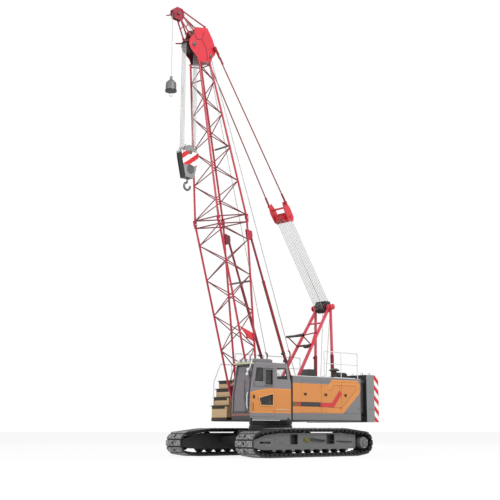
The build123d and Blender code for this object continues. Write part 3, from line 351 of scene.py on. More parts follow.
@dataclass(frozen=True)
class Finish:
    """Painted metal: slight mottling, settled dust, varied roughness and orange peel."""

    name: str
    colour: Point
    roughness: float = 0.42
    metallic: float = 0.0
    coat: float = 0.0
    dust: float = 0.12
    dust_colour: Point = (0.36, 0.33, 0.29)
    mottle: float = 0.10
    grain: float = 90.0
    relief: float = 0.0004

    def pattern(self, s: Shade) -> Colour:
        """Colour before wear and dust."""
        return self.colour

    def height(self, s: Shade) -> Field:
        """Relief of the surface."""
        return s.noise(self.grain, 2.0)

    def make(self) -> bpy.types.Material:
        """Build the material.

        Returns:
            The finished material.
        """
        s = Shade(self.name)
        base = self.pattern(s)
        broad, fine = s.noise(1.7, 4.0), s.noise(23.0, 5.0)
        upward = s.facing(2).smooth(0.2, 0.95) * 0.7 + 0.3
        settled = upward * fine.smooth(0.38, 0.75) * self.dust
        stained = times(self.colour, 1 - 2.4 * self.mottle)
        colour = s.layers(base, (stained, (broad - 0.42) * (2.2 * self.mottle)),
                          (self.dust_colour, settled))
        rough = (self.roughness + (fine - 0.5) * 0.18 + settled * 0.5).clamp()
        values = {"Base Color": colour, "Roughness": rough, "Metallic": self.metallic}
        if self.coat:
            values.update({"Coat Weight": self.coat, "Coat Roughness": 0.08})
        s.finish(values, self.height(s), self.relief)
        return s.material


@dataclass(frozen=True)
class CastSteel(Finish):
    """Rough casting or forging with pits."""

    def height(self, s: Shade) -> Field:
        """Pits and grain."""
        return s.noise(self.grain, 4.0) - s.cells(self.grain * 0.6).smooth(0.0, 0.25) * 0.3


@dataclass(frozen=True)
class TrackSteel(CastSteel):
    """Track shoes: dull steel, rubbed bright where they meet the ground and the wheels, with a
    painted highlight on the shoes round the wheels.
    """

    # colour of the bright wear, also used as a painted highlight
    polished_and_lit: Point = (0.30, 0.30, 0.31)
    shoe_face: float = 0.385
    loop_top: float = 0.955

    def pattern(self, s: Shade) -> Field:
        """Brighter metal on the outermost faces of the loop: wear, and a painted highlight on the
        shoes round the wheels.

        Args:
            s: the material's nodes.

        Returns:
            The colour.
        """
        along, up = (abs(s.x) - WHEEL_X) | 0.0, s.z - WHEEL_Z
        squares = {0: along * along + up * up}
        radius = s.node("ShaderNodeMath", {"operation": "SQRT"}, squares)
        # round both wheels: wear, and a painted highlight that stands for the light on the front
        # shoes
        end = radius.smooth(self.shoe_face - 0.02, self.shoe_face + 0.01) * (along > 0.02)
        ground, top = 1 - s.z.smooth(0.006, 0.03), s.z.smooth(self.loop_top - 0.03, self.loop_top)
        worn_and_lit = (end | ground | top) * s.noise(14.0, 4.0).smooth(0.3, 0.62)
        return s.blend(self.colour, self.polished_and_lit, worn_and_lit)


@dataclass(frozen=True)
class BrushedSteel(Finish):
    """Bare steel with fine drawn lines."""

    def height(self, s: Shade) -> Field:
        """Lines along Z."""
        return s.noise(60.0, 2.0, (6.0, 6.0, 0.4))


@dataclass(frozen=True)
class Ribbed(Finish):
    """Plastic or rubber with a fine moulded grain."""

    def height(self, s: Shade) -> Field:
        """Leathery moulded cells."""
        return s.cells(260.0)


@dataclass(frozen=True)
class TreadPlate(Finish):
    """Walkway plate with raised diagonal bars."""

    pitch: float = 0.06

    def height(self, s: Shade) -> Field:
        """Short bars in two directions, by turns.

        Args:
            s: the material's nodes.

        Returns:
            The height.
        """
        u, v = (s.x + s.y).part(self.pitch), (s.x - s.y).part(self.pitch)
        other = (v.line(0.0, 0.10) | v.line(1.0, 0.10)) * u.line(0.5, 0.3)
        return u.line(0.5, 0.12) * v.line(0.5, 0.36) | other


@dataclass(frozen=True)
class DrumRope(Finish):
    """Wire rope wound side by side on a drum along Y."""

    pitch: float = 0.024

    def turn(self, s: Shade) -> Field:
        """Round profile of the turns."""
        return (s.y.part(self.pitch) * math.pi).wave()

    def height(self, s: Shade) -> Field:
        """Round turns with slanted strands."""
        return self.turn(s) + ((s.x + s.z) * 420.0 + s.y * 500.0).wave() * 0.16

    def pattern(self, s: Shade) -> Field:
        """Painted shade in the hollows between turns."""
        # painted shade: a quarter of the colour in the hollows
        return s.blend(times(self.colour, 0.25), self.colour, self.turn(s).smooth(0.1, 0.7))


@dataclass(frozen=True)
class HangingRope(Finish):
    """Wire rope that hangs along Z, with slanted strands."""

    # share of the colour kept in the painted shade between the strands
    grease: float = 0.5

    def height(self, s: Shade) -> Field:
        """Strands."""
        return ((s.x + s.y) * 300.0 + s.z * 130.0).wave()

    def pattern(self, s: Shade) -> Field:
        """Painted shade in the hollows between the strands."""
        bright = self.height(s).smooth(-0.9, 0.2)
        return s.blend(times(self.colour, self.grease), self.colour, bright)


@dataclass(frozen=True)
class Strands(HangingRope):
    """Wire rope whose strands follow the piece's own unwrapped sides."""

    # share of the colour kept in the painted shade between the strands
    grease: float = 0.45
    lay: float = 260.0

    def height(self, s: Shade) -> Field:
        """Six strands wound round the rope."""
        spread = s.node("ShaderNodeTexCoord", {}, {}, "UV")
        return (s.axis(spread, 0) * 37.7 + s.axis(spread, 1) * self.lay).wave()


@dataclass(frozen=True)
class HouseLivery(Finish):
    """Orange field with pressed border lines, a red bent stripe and a grey surround, with a painted
    highlight and painted shade along the pressed border, a painted shadow round the stripe and
    painted shade at the ends.
    """

    grey: Point = paint(114, 113, 115)
    red: Point = paint(204, 20, 32)
    maroon: Point = paint(150, 42, 30)
    olive: Point = paint(96, 84, 30)
    black: Point = paint(28, 25, 24)
    pale: Point = paint(214, 216, 216)
    wall: float = 1.5
    field_bottom: float = 1.48
    field_top: float = 2.68
    low_top: float = 2.50
    field_front: float = 0.50
    field_rear: float = -3.09
    door_x: float = -1.36
    step_x: float = -1.42
    tail_x: float = -2.16
    tail_slope: float = 0.817
    bar_low: float = 1.70
    bar_high: float = 1.86
    blocks: tuple = ((-0.965, 0.03), (0.035, 0.27), (0.275, 0.43))
    # inward distances of the painted bands along the pressed border: painted highlight outside the
    # first, painted shade between the two
    border: tuple = (0.185, 0.215)
    groove: tuple = (0.18, 0.22)
    shadow: float = 0.012
    # where the painted gap shade covers the house's ends
    gap_shade_front: float = 0.424
    gap_shade_rear: float = -3.112
    gap_shade_top: float = 2.3
    cap: float = 2.742

    def outline(self, s: Shade, inward: float) -> Field:
        """Mask of the orange field, moved inwards by a distance.

        Args:
            s: the material's nodes.
            inward: the distance.

        Returns:
            The mask.
        """
        slope = (s.z - self.field_bottom) - (self.tail_x - s.x) * self.tail_slope
        corner = (self.field_top - s.z) + (s.x - self.field_rear)
        step = (s.x - self.step_x) + (s.z - self.low_top) * 0.85 < -inward * 1.3
        top = (s.z < self.low_top - inward) | step * (s.z < self.field_top - inward)
        sides = s.x.between(self.field_rear + inward, self.field_front - inward)
        ends = (slope > inward * 1.29) * (corner > 0.13 + inward * 1.41)
        return top * sides * ends * (s.z > self.field_bottom + inward)

    def stripe(self, s: Shade, grow: float) -> Field:
        """Mask of the bent red stripe, widened by a distance.

        Args:
            s: the material's nodes.
            grow: the distance.

        Returns:
            The mask.
        """
        low, high = self.bar_low - grow, self.bar_high - 0.02 + grow
        slant = s.z - self.bar_low + (s.x + 1.66) * 1.13
        above = slant > -grow * 1.5
        flat = s.z.between(low, high) * (s.x < -0.98 + grow) * above
        rise = above * (slant < 0.245 + grow * 1.5) * (s.z > low) * (s.x < -1.40)
        return flat | rise * (s.x - s.z * 0.92 > -4.09 - grow * 1.4)

    def pattern(self, s: Shade) -> Field:
        """All the coloured areas of the side, with painted light and shade.

        Args:
            s: the material's nodes.

        Returns:
            The colour.
        """
        side = abs(s.y) > self.wall
        rear = (s.x < self.door_x) * side
        whole, inner, innermost = (self.outline(s, inward) for inward in (0.0, *self.border))
        bar = s.z.between(self.bar_low, self.bar_high) * side
        blocks = [(colour, bar * s.x.between(*ends))
                  for colour, ends in zip((self.black, self.maroon, self.olive), self.blocks)]
        return s.layers(
            self.grey, (self.colour, whole * side),
            # painted shade in the pressed groove, and a painted highlight on the band outside it
            (times(self.colour, 0.55), (inner - innermost) * rear * 0.8),
            (times(self.colour, 1.12), whole * (1 - inner) * rear * 0.7), *blocks,
            # painted shadow round the red stripe
            (self.black, self.stripe(s, self.shadow) * side * 0.75),
            (self.red, self.stripe(s, 0.0) * side),
            # painted shade at the ends, beside the gaps to the cab and the counterweight
            (GAP_SHADE, (s.x > self.gap_shade_front) | (s.x < self.gap_shade_rear) * (s.z < self.gap_shade_top)),
            (self.pale, (s.z > self.cap) * side))

    def height(self, s: Shade) -> Field:
        """Border line pressed into the doors, over fine orange peel.

        Args:
            s: the material's nodes.

        Returns:
            The height.
        """
        rear = (s.x < self.door_x) * (abs(s.y) > self.wall)
        start, end = (self.outline(s, inward) for inward in self.groove)
        line = (start - end) * rear
        return s.noise(self.grain, 2.0) * 0.25 - line * 3.0


@dataclass(frozen=True)
class CabLivery(Finish):
    """Grey cab with an orange lower side that has a curved top edge, with painted highlights along
    that edge and the sill and painted shade at the rear end.
    """

    dark: Point = paint(46, 44, 48)
    rust: Point = paint(128, 84, 72)
    middle: float = 1.125
    half: float = 0.442
    bottom: float = 1.46
    level: float = 2.28
    bend: float = 1.30
    fall: float = 0.12
    front: float = 2.425
    # width of the painted highlight at the top edge and of the rust line
    rim: float = 0.035
    lit_sill_top: float = 1.5
    foot_x: float = 2.44
    foot_z: float = 1.47
    rust_z: float = 1.40
    # where the painted gap shade covers the cab's rear end
    gap_shade_x: float = 0.525
    gap_shade_z: float = 1.24

    def pattern(self, s: Shade) -> Field:
        """Orange below the edge, which falls away to the front, with painted highlights on its top
        edge and sill, and a dark front foot.

        Args:
            s: the material's nodes.

        Returns:
            The colour.
        """
        ahead = (s.x - self.bend) | 0.0
        edge = self.level - ahead * ahead * self.fall
        side = abs(s.y - self.middle) > self.half
        low = (s.z < edge) * (s.z > self.bottom) * side * (s.x < self.front)
        foot = (s.x > self.foot_x) * (s.z < self.foot_z)
        return s.layers(
            self.colour, (ORANGE, low),
            # painted highlights: lighter copies of the orange along the top edge and the sill
            (times(ORANGE, 1.25), low * (s.z > edge - self.rim) * 0.6),
            (times(ORANGE, 1.2), s.z.between(self.bottom, self.lit_sill_top) * low * 0.5),
            (self.dark, foot), (self.rust, foot * s.z.line(self.rust_z, self.rim)),
            # painted shade at the rear end, beside the gap to the house
            (GAP_SHADE, (s.x < self.gap_shade_x) * side * (s.z > self.gap_shade_z)))


@dataclass(frozen=True)
class HazardPaint(Finish):
    """Plain paint with a band of diagonal red and white stripes."""

    red: Point = paint(205, 30, 40)
    white: Point = paint(238, 238, 236)
    shadow: Point = paint(30, 32, 36)
    rear: float = -4.3
    front: float = -3.9
    tail: float = -3.47
    outer: float = 1.36
    pitch: float = 0.38

    def stripes(self, s: Shade, slope: float) -> Field:
        """Red and white stripes with a slope."""
        return s.blend(self.white, self.red, (s.z + s.x * slope).part(self.pitch) > 0.5)

    def pattern(self, s: Shade) -> Field:
        """Stripes at the rear of the sides, and a dark front face."""
        area = s.x.between(self.rear, self.front) * (abs(s.y) > self.outer)
        return s.layers(self.colour, (self.shadow, s.x > self.tail), (self.stripes(s, -0.9), area))


@dataclass(frozen=True)
class BlockPaint(HazardPaint):
    """Hook block: striped above and grey below on the cheeks, with dark sides."""

    split: float = 9.93
    half_y: float = 0.147
    sheaves: float = 10.36
    plain: Point = paint(138, 139, 138)

    def pattern(self, s: Shade) -> Field:
        """Stripes, grey cheeks and the sheaves' guard.

        Args:
            s: the material's nodes.

        Returns:
            The colour.
        """
        face = abs(s.y) > self.half_y
        upper = face * s.z.between(self.split, self.sheaves + 0.22)
        return s.layers(self.colour, (self.plain, face | (s.z > self.sheaves)),
                        (self.stripes(s, 0.75), upper))


@dataclass(frozen=True)
class BallPaint(CastSteel):
    """Iron weight with a dark band round its foot."""

    band: float = 12.548
    dark: Point = paint(24, 24, 25)

    def pattern(self, s: Shade) -> Field:
        """Dark below the band's edge."""
        return s.blend(self.colour, self.dark, s.z < self.band)


@dataclass(frozen=True)
class InnerPaint(Finish):
    """Paint with painted shade on the faces towards the machine's middle."""

    # colour of the painted shade
    dark: Point = paint(36, 30, 32)
    inner: float = 0.275

    def pattern(self, s: Shade) -> Field:
        """Painted shade between the two sides."""
        return s.blend(self.colour, self.dark, abs(s.y) < self.inner)


@dataclass(frozen=True)
class BoomPaint(Finish):
    """Crimson chords and darker lacings of the tapered lattice."""

    lacing: Point = paint(112, 18, 40)
    band: float = 0.062

    def pattern(self, s: Shade) -> Field:
        """Chord colour near the four corners of the section.

        Args:
            s: the material's nodes.

        Returns:
            The colour.
        """
        dx, dz = s.x - LATTICE.foot[0], s.z - LATTICE.foot[2]
        offset = abs(dx * LATTICE.rise - dz * LATTICE.lean)
        tapers = LATTICE.tapers(dx * LATTICE.lean + dz * LATTICE.rise)
        depth, width = (base & top for base, top in tapers)
        chord = (offset > depth - self.band) * (abs(s.y) > width - self.band)
        return s.blend(self.lacing, self.colour, chord)


@dataclass(frozen=True)
class Glass:
    """Tinted cab glass: clear at the rear quarter, near-black beside the operator as painted shade
    of the cab's inside, and lighter on the windscreen as a painted reflection.
    """

    name: str
    tint: Point = (0.10, 0.095, 0.105)
    # painted reflection: lighter colour of the windscreen
    screen_reflection: Point = (0.24, 0.215, 0.235)
    # painted shade of the cab's inside, seen through the side glass
    dark: Point = (0.012, 0.012, 0.014)
    film_grey: Point = (0.45, 0.45, 0.45)
    quarter: float = 1.30
    front: float = 2.24

    def make(self) -> bpy.types.Material:
        """Build the material.

        Returns:
            The finished material.
        """
        s = Shade(self.name)
        film = s.noise(6.0, 3.0).smooth(0.45, 0.8)
        rear, ahead = s.x < self.quarter, (s.x > self.front) | (s.facing(0) > 0.5)
        colour = s.layers(self.dark, (self.screen_reflection, ahead), (self.tint, rear),
                          (self.film_grey, film * 0.12))
        opacity = 0.90 - rear * 0.76 - ahead * 0.22
        s.finish({"Base Color": colour, "Roughness": 0.03 + film * 0.12,
                  "Alpha": opacity.clamp()})
        return s.material


@dataclass(frozen=True)
class Weave(Finish):
    """Woven seat cloth with crossed threads."""

    thread: float = 0.004

    def height(self, s: Shade) -> Field:
        """Threads over and under."""
        x, y, z = ((axis * (2 * math.pi / self.thread)).wave() for axis in (s.x, s.y, s.z))
        return x * y + z * 0.4


@dataclass(frozen=True)
class Lamp:
    """Lamp lens with moulded ribs."""

    name: str
    colour: Point
    ribs: float = 120.0

    def make(self) -> bpy.types.Material:
        """Build the material.

        Returns:
            The finished material.
        """
        s = Shade(self.name)
        rib = ((s.y + s.x) * (2 * math.pi * self.ribs)).wave()
        colour = s.blend(self.colour, times(self.colour, 0.6), rib.smooth(-0.2, 0.9))
        values = {"Base Color": colour, "Roughness": 0.08 + rib * 0.03, "Coat Weight": 0.6}
        s.finish(values, rib, 0.001)
        return s.material


class Finishes:
    """Every finish of the machine, each built once."""

    def __init__(self) -> None:
        """List the finishes."""
        bright = {"coat": 0.3, "mottle": 0.06, "dust": 0.03}
        self.wanted = {f.name: f for f in (
            TrackSteel("track_steel", (0.020, 0.020, 0.021), 0.55, 0.3, dust=0.07, grain=55,
                       relief=0.002),
            # painted shade on the track frames' inner faces
            InnerPaint("frame_grey", paint(98, 98, 99), 0.5, dust=0.14, dark=paint(38, 38, 40),
                       inner=2.03),
            Finish("chassis_black", paint(40, 41, 43), 0.45, dust=0.18),
            HouseLivery("house_livery", ORANGE, 0.32, coat=0.35, mottle=0.04, dust=0.05),
            CabLivery("cab_livery", paint(122, 119, 122), 0.36, coat=0.2, mottle=0.06, dust=0.08),
            Finish("body_grey", paint(114, 113, 115), 0.4, dust=0.08),
            BoomPaint("boom_red", paint(170, 18, 46), 0.34, coat=0.3, mottle=0.08, dust=0.04),
            Finish("gantry_red", paint(206, 62, 84), 0.4, coat=0.2, mottle=0.08, dust=0.05),
            Finish("signal_red", paint(204, 38, 54), 0.34, **bright),
            # painted shade between the two sides of the gantry head and the boom head
            InnerPaint("head_paint", paint(176, 20, 36), 0.4, dust=0.05),
            InnerPaint("boom_head_paint", paint(204, 38, 54), 0.34, **bright,
                       dark=paint(84, 12, 24), inner=0.212),
            CastSteel("sheave_dark", paint(50, 45, 43), 0.5, 0.3, grain=45, relief=0.0015,
                      dust=0.05),
            Finish("stop_red", paint(128, 14, 26), 0.42, dust=0.08),
            HazardPaint("ballast_paint", paint(128, 129, 131), 0.55, dust=0.10, mottle=0.08),
            CastSteel("drum_iron", paint(92, 93, 95), 0.5, 0.2, grain=45, relief=0.0015),
            DrumRope("drum_rope", paint(132, 128, 120), 0.5, 0.7, relief=0.006, dust=0.0),
            BrushedSteel("bare_steel", (0.52, 0.53, 0.54), 0.28, 0.95, dust=0.03),
            Strands("rope_strands", (0.56, 0.56, 0.54), 0.4, 0.55, relief=0.003, dust=0.0),
            HangingRope("hanging_rope", (0.62, 0.62, 0.60), 0.42, 0.45, relief=0.003, dust=0.0),
            BlockPaint("block_paint", paint(16, 17, 17), 0.4, pitch=0.40),
            BallPaint("ball_iron", paint(104, 105, 107), 0.45, 0.35, grain=40, relief=0.002),
            CastSteel("hook_grey", paint(96, 97, 98), 0.4, 0.5, grain=40, relief=0.001, dust=0.05),
            Finish("signal_dark", paint(150, 22, 44), 0.38, coat=0.2, mottle=0.08, dust=0.03),
            Glass("cab_glass"),
            Weave("seat_cloth", (0.035, 0.036, 0.04), 0.85, relief=0.001),
            Ribbed("black_plastic", (0.03, 0.03, 0.032), 0.55, relief=0.0004, dust=0.05),
            Ribbed("black_rubber", (0.018, 0.018, 0.018), 0.72, relief=0.0006, dust=0.10),
            Finish("rail_white", paint(208, 212, 212), 0.38, dust=0.05),
            CastSteel("engine_iron", paint(96, 99, 102), 0.6, 0.2, grain=30, relief=0.003),
            Finish("step_beige", paint(200, 170, 130), 0.45, dust=0.10),
            Finish("step_dark", paint(38, 28, 20), 0.55, dust=0.12),
            Finish("latch_brown", paint(52, 34, 22), 0.5, dust=0.06),
            # lighter orange, used as a painted highlight
            Finish("orange_highlight", paint(236, 176, 104), 0.36, coat=0.3, dust=0.04),
            TreadPlate("tread_plate", paint(64, 54, 40), 0.5, 0.3, relief=0.003, dust=0.2),
            Finish("fitting_olive", paint(122, 116, 40), 0.4, 0.3, dust=0.15),
            Finish("exhaust_dark", paint(70, 66, 64), 0.6, 0.5, dust=0.1),
            Lamp("lamp_clear", (0.75, 0.77, 0.78)),
            Finish("visor_cream", paint(200, 196, 168), 0.5, dust=0.15),
        )}
        self.made: dict[str, bpy.types.Material] = {}

    def get(self, name: str) -> bpy.types.Material:
        """Material of a finish, built when first asked for.

        Args:
            name: the finish's name.

        Returns:
            The material.
        """
        if name not in self.made:
            self.made[name] = self.wanted[name].make()
        return self.made[name]


# ---- Workbench ---------------------------------------------------------------------


def shift(x: float = 0.0, y: float = 0.0, z: float = 0.0) -> Matrix:
    """Matrix of a plain move."""
    return Matrix.Translation((x, y, z))


@dataclass
class Bench:
    """Modelling steps with Blender's own operators, which every sub-assembly inherits."""

    finishes: Finishes

    @staticmethod
    def clear() -> None:
        """Deselect everything."""
        bpy.ops.object.select_all(action="DESELECT")

    def hold(self, piece: Mesh) -> None:
        """Select one piece alone and make it active.

        Args:
            piece: the piece that is worked on.
        """
        self.clear()
        piece.select_set(True)
        bpy.context.view_layer.objects.active = piece

    @contextmanager
    def editing(self, piece: Mesh) -> Iterator[None]:
        """Open a piece in edit mode, all selected, and close it with its faces outwards.

        Args:
            piece: the piece that is worked on.
        """
        self.hold(piece)
        bpy.ops.object.mode_set(mode="EDIT")
        bpy.ops.mesh.select_mode(type="FACE")
        bpy.ops.mesh.select_all(action="SELECT")
        yield
        bpy.ops.mesh.select_all(action="SELECT")
        bpy.ops.mesh.normals_make_consistent(inside=False)
        bpy.ops.object.mode_set(mode="OBJECT")

    def settle(self, piece: Mesh) -> Mesh:
        """Move a piece's place, turn and size into its mesh.

        Args:
            piece: the piece that is worked on.

        Returns:
            The same piece.
        """
        self.hold(piece)
        bpy.ops.object.transform_apply(location=True, rotation=True, scale=True)
        return piece

    def modify(self, piece: Mesh, kind: str, settings: dict) -> Mesh:
        """Apply a modifier of a kind with its settings.

        Args:
            piece: the piece that is worked on.
            kind: the modifier's type.
            settings: its properties.

        Returns:
            The same piece.
        """
        self.hold(piece)
        made = piece.modifiers.new(kind.lower(), kind)
        for key, value in settings.items():
            setattr(made, key, value)
        bpy.ops.object.modifier_apply(modifier=made.name)
        return piece

    def bevel(self, piece: Mesh, width: float, segments: int = 2, angle: float = 40.0) -> Mesh:
        """Round the edges sharper than an angle, unless the width is 0.

        Args:
            piece: the piece that is worked on.
            width: width of the rounded edges.
            segments: steps of the rounding.
            angle: the angle in degrees.

        Returns:
            The same piece.
        """
        settings = {"width": width, "segments": segments, "limit_method": "ANGLE",
                    "angle_limit": math.radians(angle), "harden_normals": False}
        return self.modify(piece, "BEVEL", settings) if width else piece

    def box(self, low: Point, high: Point, edge: float = 0.004, segments: int = 2) -> Mesh:
        """Box between two corners with rounded edges.

        Args:
            low: lowest corner.
            high: highest corner.
            edge: width of the rounded edges.
            segments: steps of the rounding.

        Returns:
            The finished piece.
        """
        self.clear()
        middle = [(a + b) / 2 for a, b in zip(low, high)]
        bpy.ops.mesh.primitive_cube_add(size=1, location=middle)
        bpy.context.object.scale = [abs(b - a) for a, b in zip(low, high)]
        return self.bevel(self.settle(bpy.context.object), edge, segments)

    def rod(self, start: Point, end: Point, radius: float, sides: int = 16,
            edge: float = 0.0) -> Mesh:
        """Round bar between two points.

        Args:
            start: first end of the axis.
            end: last end of the axis.
            radius: radius of the bar.
            sides: number of sides.
            edge: width of the rounded edges.

        Returns:
            The finished piece.
        """
        self.clear()
        a, b = Vector(start), Vector(end)
        turn = (b - a).to_track_quat("Z", "Y").to_euler()
        bpy.ops.mesh.primitive_cylinder_add(vertices=sides, radius=radius, depth=(b - a).length,
                                            location=(a + b) / 2, rotation=turn)
        return self.bevel(self.settle(bpy.context.object), edge, 2, 60.0)

    def lathe(self, at: Point, profile: Sequence[tuple[float, float]], sides: int = 24,
              edge: float = 0.0, towards: Point = ACROSS) -> Mesh:
        """Turned shape: a disc that is extruded and resized step by step.

        Args:
            at: start of the axis.
            profile: (radius, distance along the axis) from the start to the end.
            sides: number of sides.
            edge: width of the rounded edges.
            towards: direction of the axis.

        Returns:
            The finished piece.
        """
        self.clear()
        radius, height = profile[0]
        bpy.ops.mesh.primitive_circle_add(vertices=sides, radius=radius, fill_type="NGON",
                                          location=(0, 0, height))
        piece = self.settle(bpy.context.object)
        with self.editing(piece):
            for r, h in profile[1:]:
                rise = (0, 0, h - height)
                bpy.ops.mesh.extrude_region_move(TRANSFORM_OT_translate={"value": rise})
                if r != radius:
                    bpy.ops.transform.resize(value=(r / radius, r / radius, 1),
                                             center_override=(0, 0, h))
                radius, height = r, h
        piece.rotation_euler = Vector(towards).to_track_quat("Z", "Y").to_euler()
        piece.location = at
        return self.bevel(self.settle(piece), edge, 2, 35.0)

    def plate(self, outline: Sequence[Point], thick: Point, edge: float = 0.002) -> Mesh:
        """Plate: a disc whose corners are moved to an outline, extruded by a thickness.

        Args:
            outline: corners of the plate's first face.
            thick: direction and amount of the extrusion.
            edge: width of the rounded edges.

        Returns:
            The finished piece.
        """
        self.clear()
        bpy.ops.mesh.primitive_circle_add(vertices=len(outline), radius=1, fill_type="NGON")
        piece = bpy.context.object
        for corner, place in zip(piece.data.vertices, outline):
            corner.co = place
        with self.editing(piece):
            bpy.ops.mesh.extrude_region_move(TRANSFORM_OT_translate={"value": thick})
        return self.bevel(piece, edge)

    def pipe(self, points: Sequence[Point], radius: float, steps: int = 6) -> Mesh:
        """Bent pipe or hose along a smooth route.

        Args:
            points: the route's control points.
            radius: radius of the pipe.
            steps: sections between two points.

        Returns:
            The finished piece.
        """
        self.clear()
        bpy.ops.curve.primitive_nurbs_path_add()
        curve = bpy.context.object.data
        curve.splines.remove(curve.splines[0])
        line = curve.splines.new("NURBS")
        line.points.add(len(points) - 1)
        for knot, place in zip(line.points, points):
            knot.co = (*place, 1.0)
        line.order_u, line.resolution_u, line.use_endpoint_u = 3, steps, True
        curve.bevel_depth, curve.bevel_resolution, curve.use_fill_caps = radius, 3, True
        self.hold(bpy.context.object)
        bpy.ops.object.convert(target="MESH")
        piece = self.settle(bpy.context.object)
        with self.editing(piece):
            bpy.ops.mesh.remove_doubles(threshold=1e-5)
        return piece

    def bolt(self, at: Point, size: float, towards: Point = ACROSS) -> Mesh:
        """Hexagonal bolt head on its washer.

        Args:
            at: place of the head's foot.
            size: radius of the head.
            towards: direction of its axis.

        Returns:
            The finished piece.
        """
        return self.lathe(at, [(size * 1.4, -0.002), (size * 1.4, size * 0.25),
                               (size, size * 0.25), (size, size * 0.8), (size * 0.75, size)],
                          6, towards=towards)

    def eye(self, at: Point, half: float, foot: float, knee: float, radius: float) -> Mesh:
        """Lifting eye that is bent over from one foot to the other.

        Args:
            at: the place between the feet.
            half: half the distance between the feet.
            foot: how deep the feet go in.
            knee: height of the bends.
            radius: radius of the bar.

        Returns:
            The finished piece.
        """
        x, y, z = at
        return self.pipe([(x - half, y, z - foot), (x - half, y, z + knee), (x, y, z + 0.10),
                          (x + half, y, z + knee), (x + half, y, z - foot)], radius)

    def ring(self, piece: Mesh, centre: Point, axis: str, count: int) -> Mesh:
        """Copies of a piece in a circle about an axis; the first one is used up.

        Args:
            piece: the first one.
            centre: a point on the axis.
            axis: X, Y or Z.
            count: number of copies.

        Returns:
            The ring as one piece.
        """
        out, back = Matrix.Translation(centre), Matrix.Translation(Vector(centre) * -1)
        return self.repeat(piece, [out @ Matrix.Rotation(2 * math.pi * i / count, 4, axis) @ back
                                   for i in range(count)])

    def rim(self, low: Point, high: Point, width: float, edge: float = 0.003) -> Mesh:
        """Rectangular rim in the XZ plane, as thick as the two corners lie apart along Y.

        Args:
            low: lowest corner of the opening.
            high: highest corner of the opening.
            width: width of the four bars.
            edge: width of the rounded edges.

        Returns:
            The finished piece.
        """
        (x0, y0, z0), (x1, y1, z1) = low, high
        return self.join([self.box((x0 - width, y0, z0 - width), (x1 + width, y1, z0), edge),
                          self.box((x0 - width, y0, z1), (x1 + width, y1, z1 + width), edge),
                          self.box((x0 - width, y0, z0), (x0, y1, z1), edge),
                          self.box((x1, y0, z0), (x1 + width, y1, z1), edge)])

    def route(self, points: Sequence[Point], radius: float) -> Mesh:
        """Straight round bars from point to point."""
        return self.join([self.rod(a, b, radius, 10) for a, b in zip(points, points[1:])])

    @staticmethod
    def copy(piece: Mesh, move: Matrix) -> Mesh:
        """Copy of a piece with its own mesh, moved into place.

        Args:
            piece: the piece that is copied.
            move: where the copy goes.

        Returns:
            The copy.
        """
        twin = piece.copy()
        twin.data = piece.data.copy()
        bpy.context.collection.objects.link(twin)
        twin.data.transform(move)
        if move.determinant() < 0:
            twin.data.flip_normals()
        return twin

    def repeat(self, piece: Mesh, moves: Sequence[Matrix]) -> Mesh:
        """Copies of a piece at several places, joined into one; the first one is used up.

        Args:
            piece: the first one.
            moves: where the copies go.

        Returns:
            The copies as one piece.
        """
        copies = [self.copy(piece, move) for move in moves]
        bpy.data.objects.remove(piece, do_unlink=True)
        return self.join(copies)

    def join(self, pieces: Sequence[Mesh]) -> Mesh:
        """Join pieces into the first one.

        Args:
            pieces: the pieces, in order.

        Returns:
            The joined piece.
        """
        self.clear()
        for piece in pieces:
            piece.select_set(True)
        bpy.context.view_layer.objects.active = pieces[0]
        if len(pieces) > 1:
            bpy.ops.object.join()
        return bpy.context.object

    def both(self, piece: Mesh) -> Mesh:
        """A piece joined with its mirror image across the machine."""
        return self.join([piece, self.copy(piece, MIRROR)])

    def done(self, name: str, body: Body, finish: str, slot: str, *pieces: Mesh,
             angle: float = 35.0, twice: bool = False) -> Mesh:
        """Join, name, dress, smooth and hang up a finished piece.

        Args:
            name: its name in the file.
            body: the body that it rides on.
            finish: name of its finish.
            slot: the record's material slot; not used.
            pieces: the modelled pieces that make it up.
            angle: edges flatter than this are smoothed.
            twice: whether it is mirrored across the machine as well.

        Returns:
            The finished piece.
        """
        piece = self.join(pieces)
        if twice:
            piece = self.both(piece)
        piece.name = piece.data.name = name
        piece.data.materials.clear()
        piece.data.materials.append(self.finishes.get(finish))
        self.hold(piece)
        bpy.ops.object.shade_smooth_by_angle(angle=math.radians(angle))
        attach(piece, body.value)
        log.info("%s: %d faces on %s", name, len(piece.data.polygons), body.value)
        return piece


# ---- Ropes -------------------------------------------------------------------------


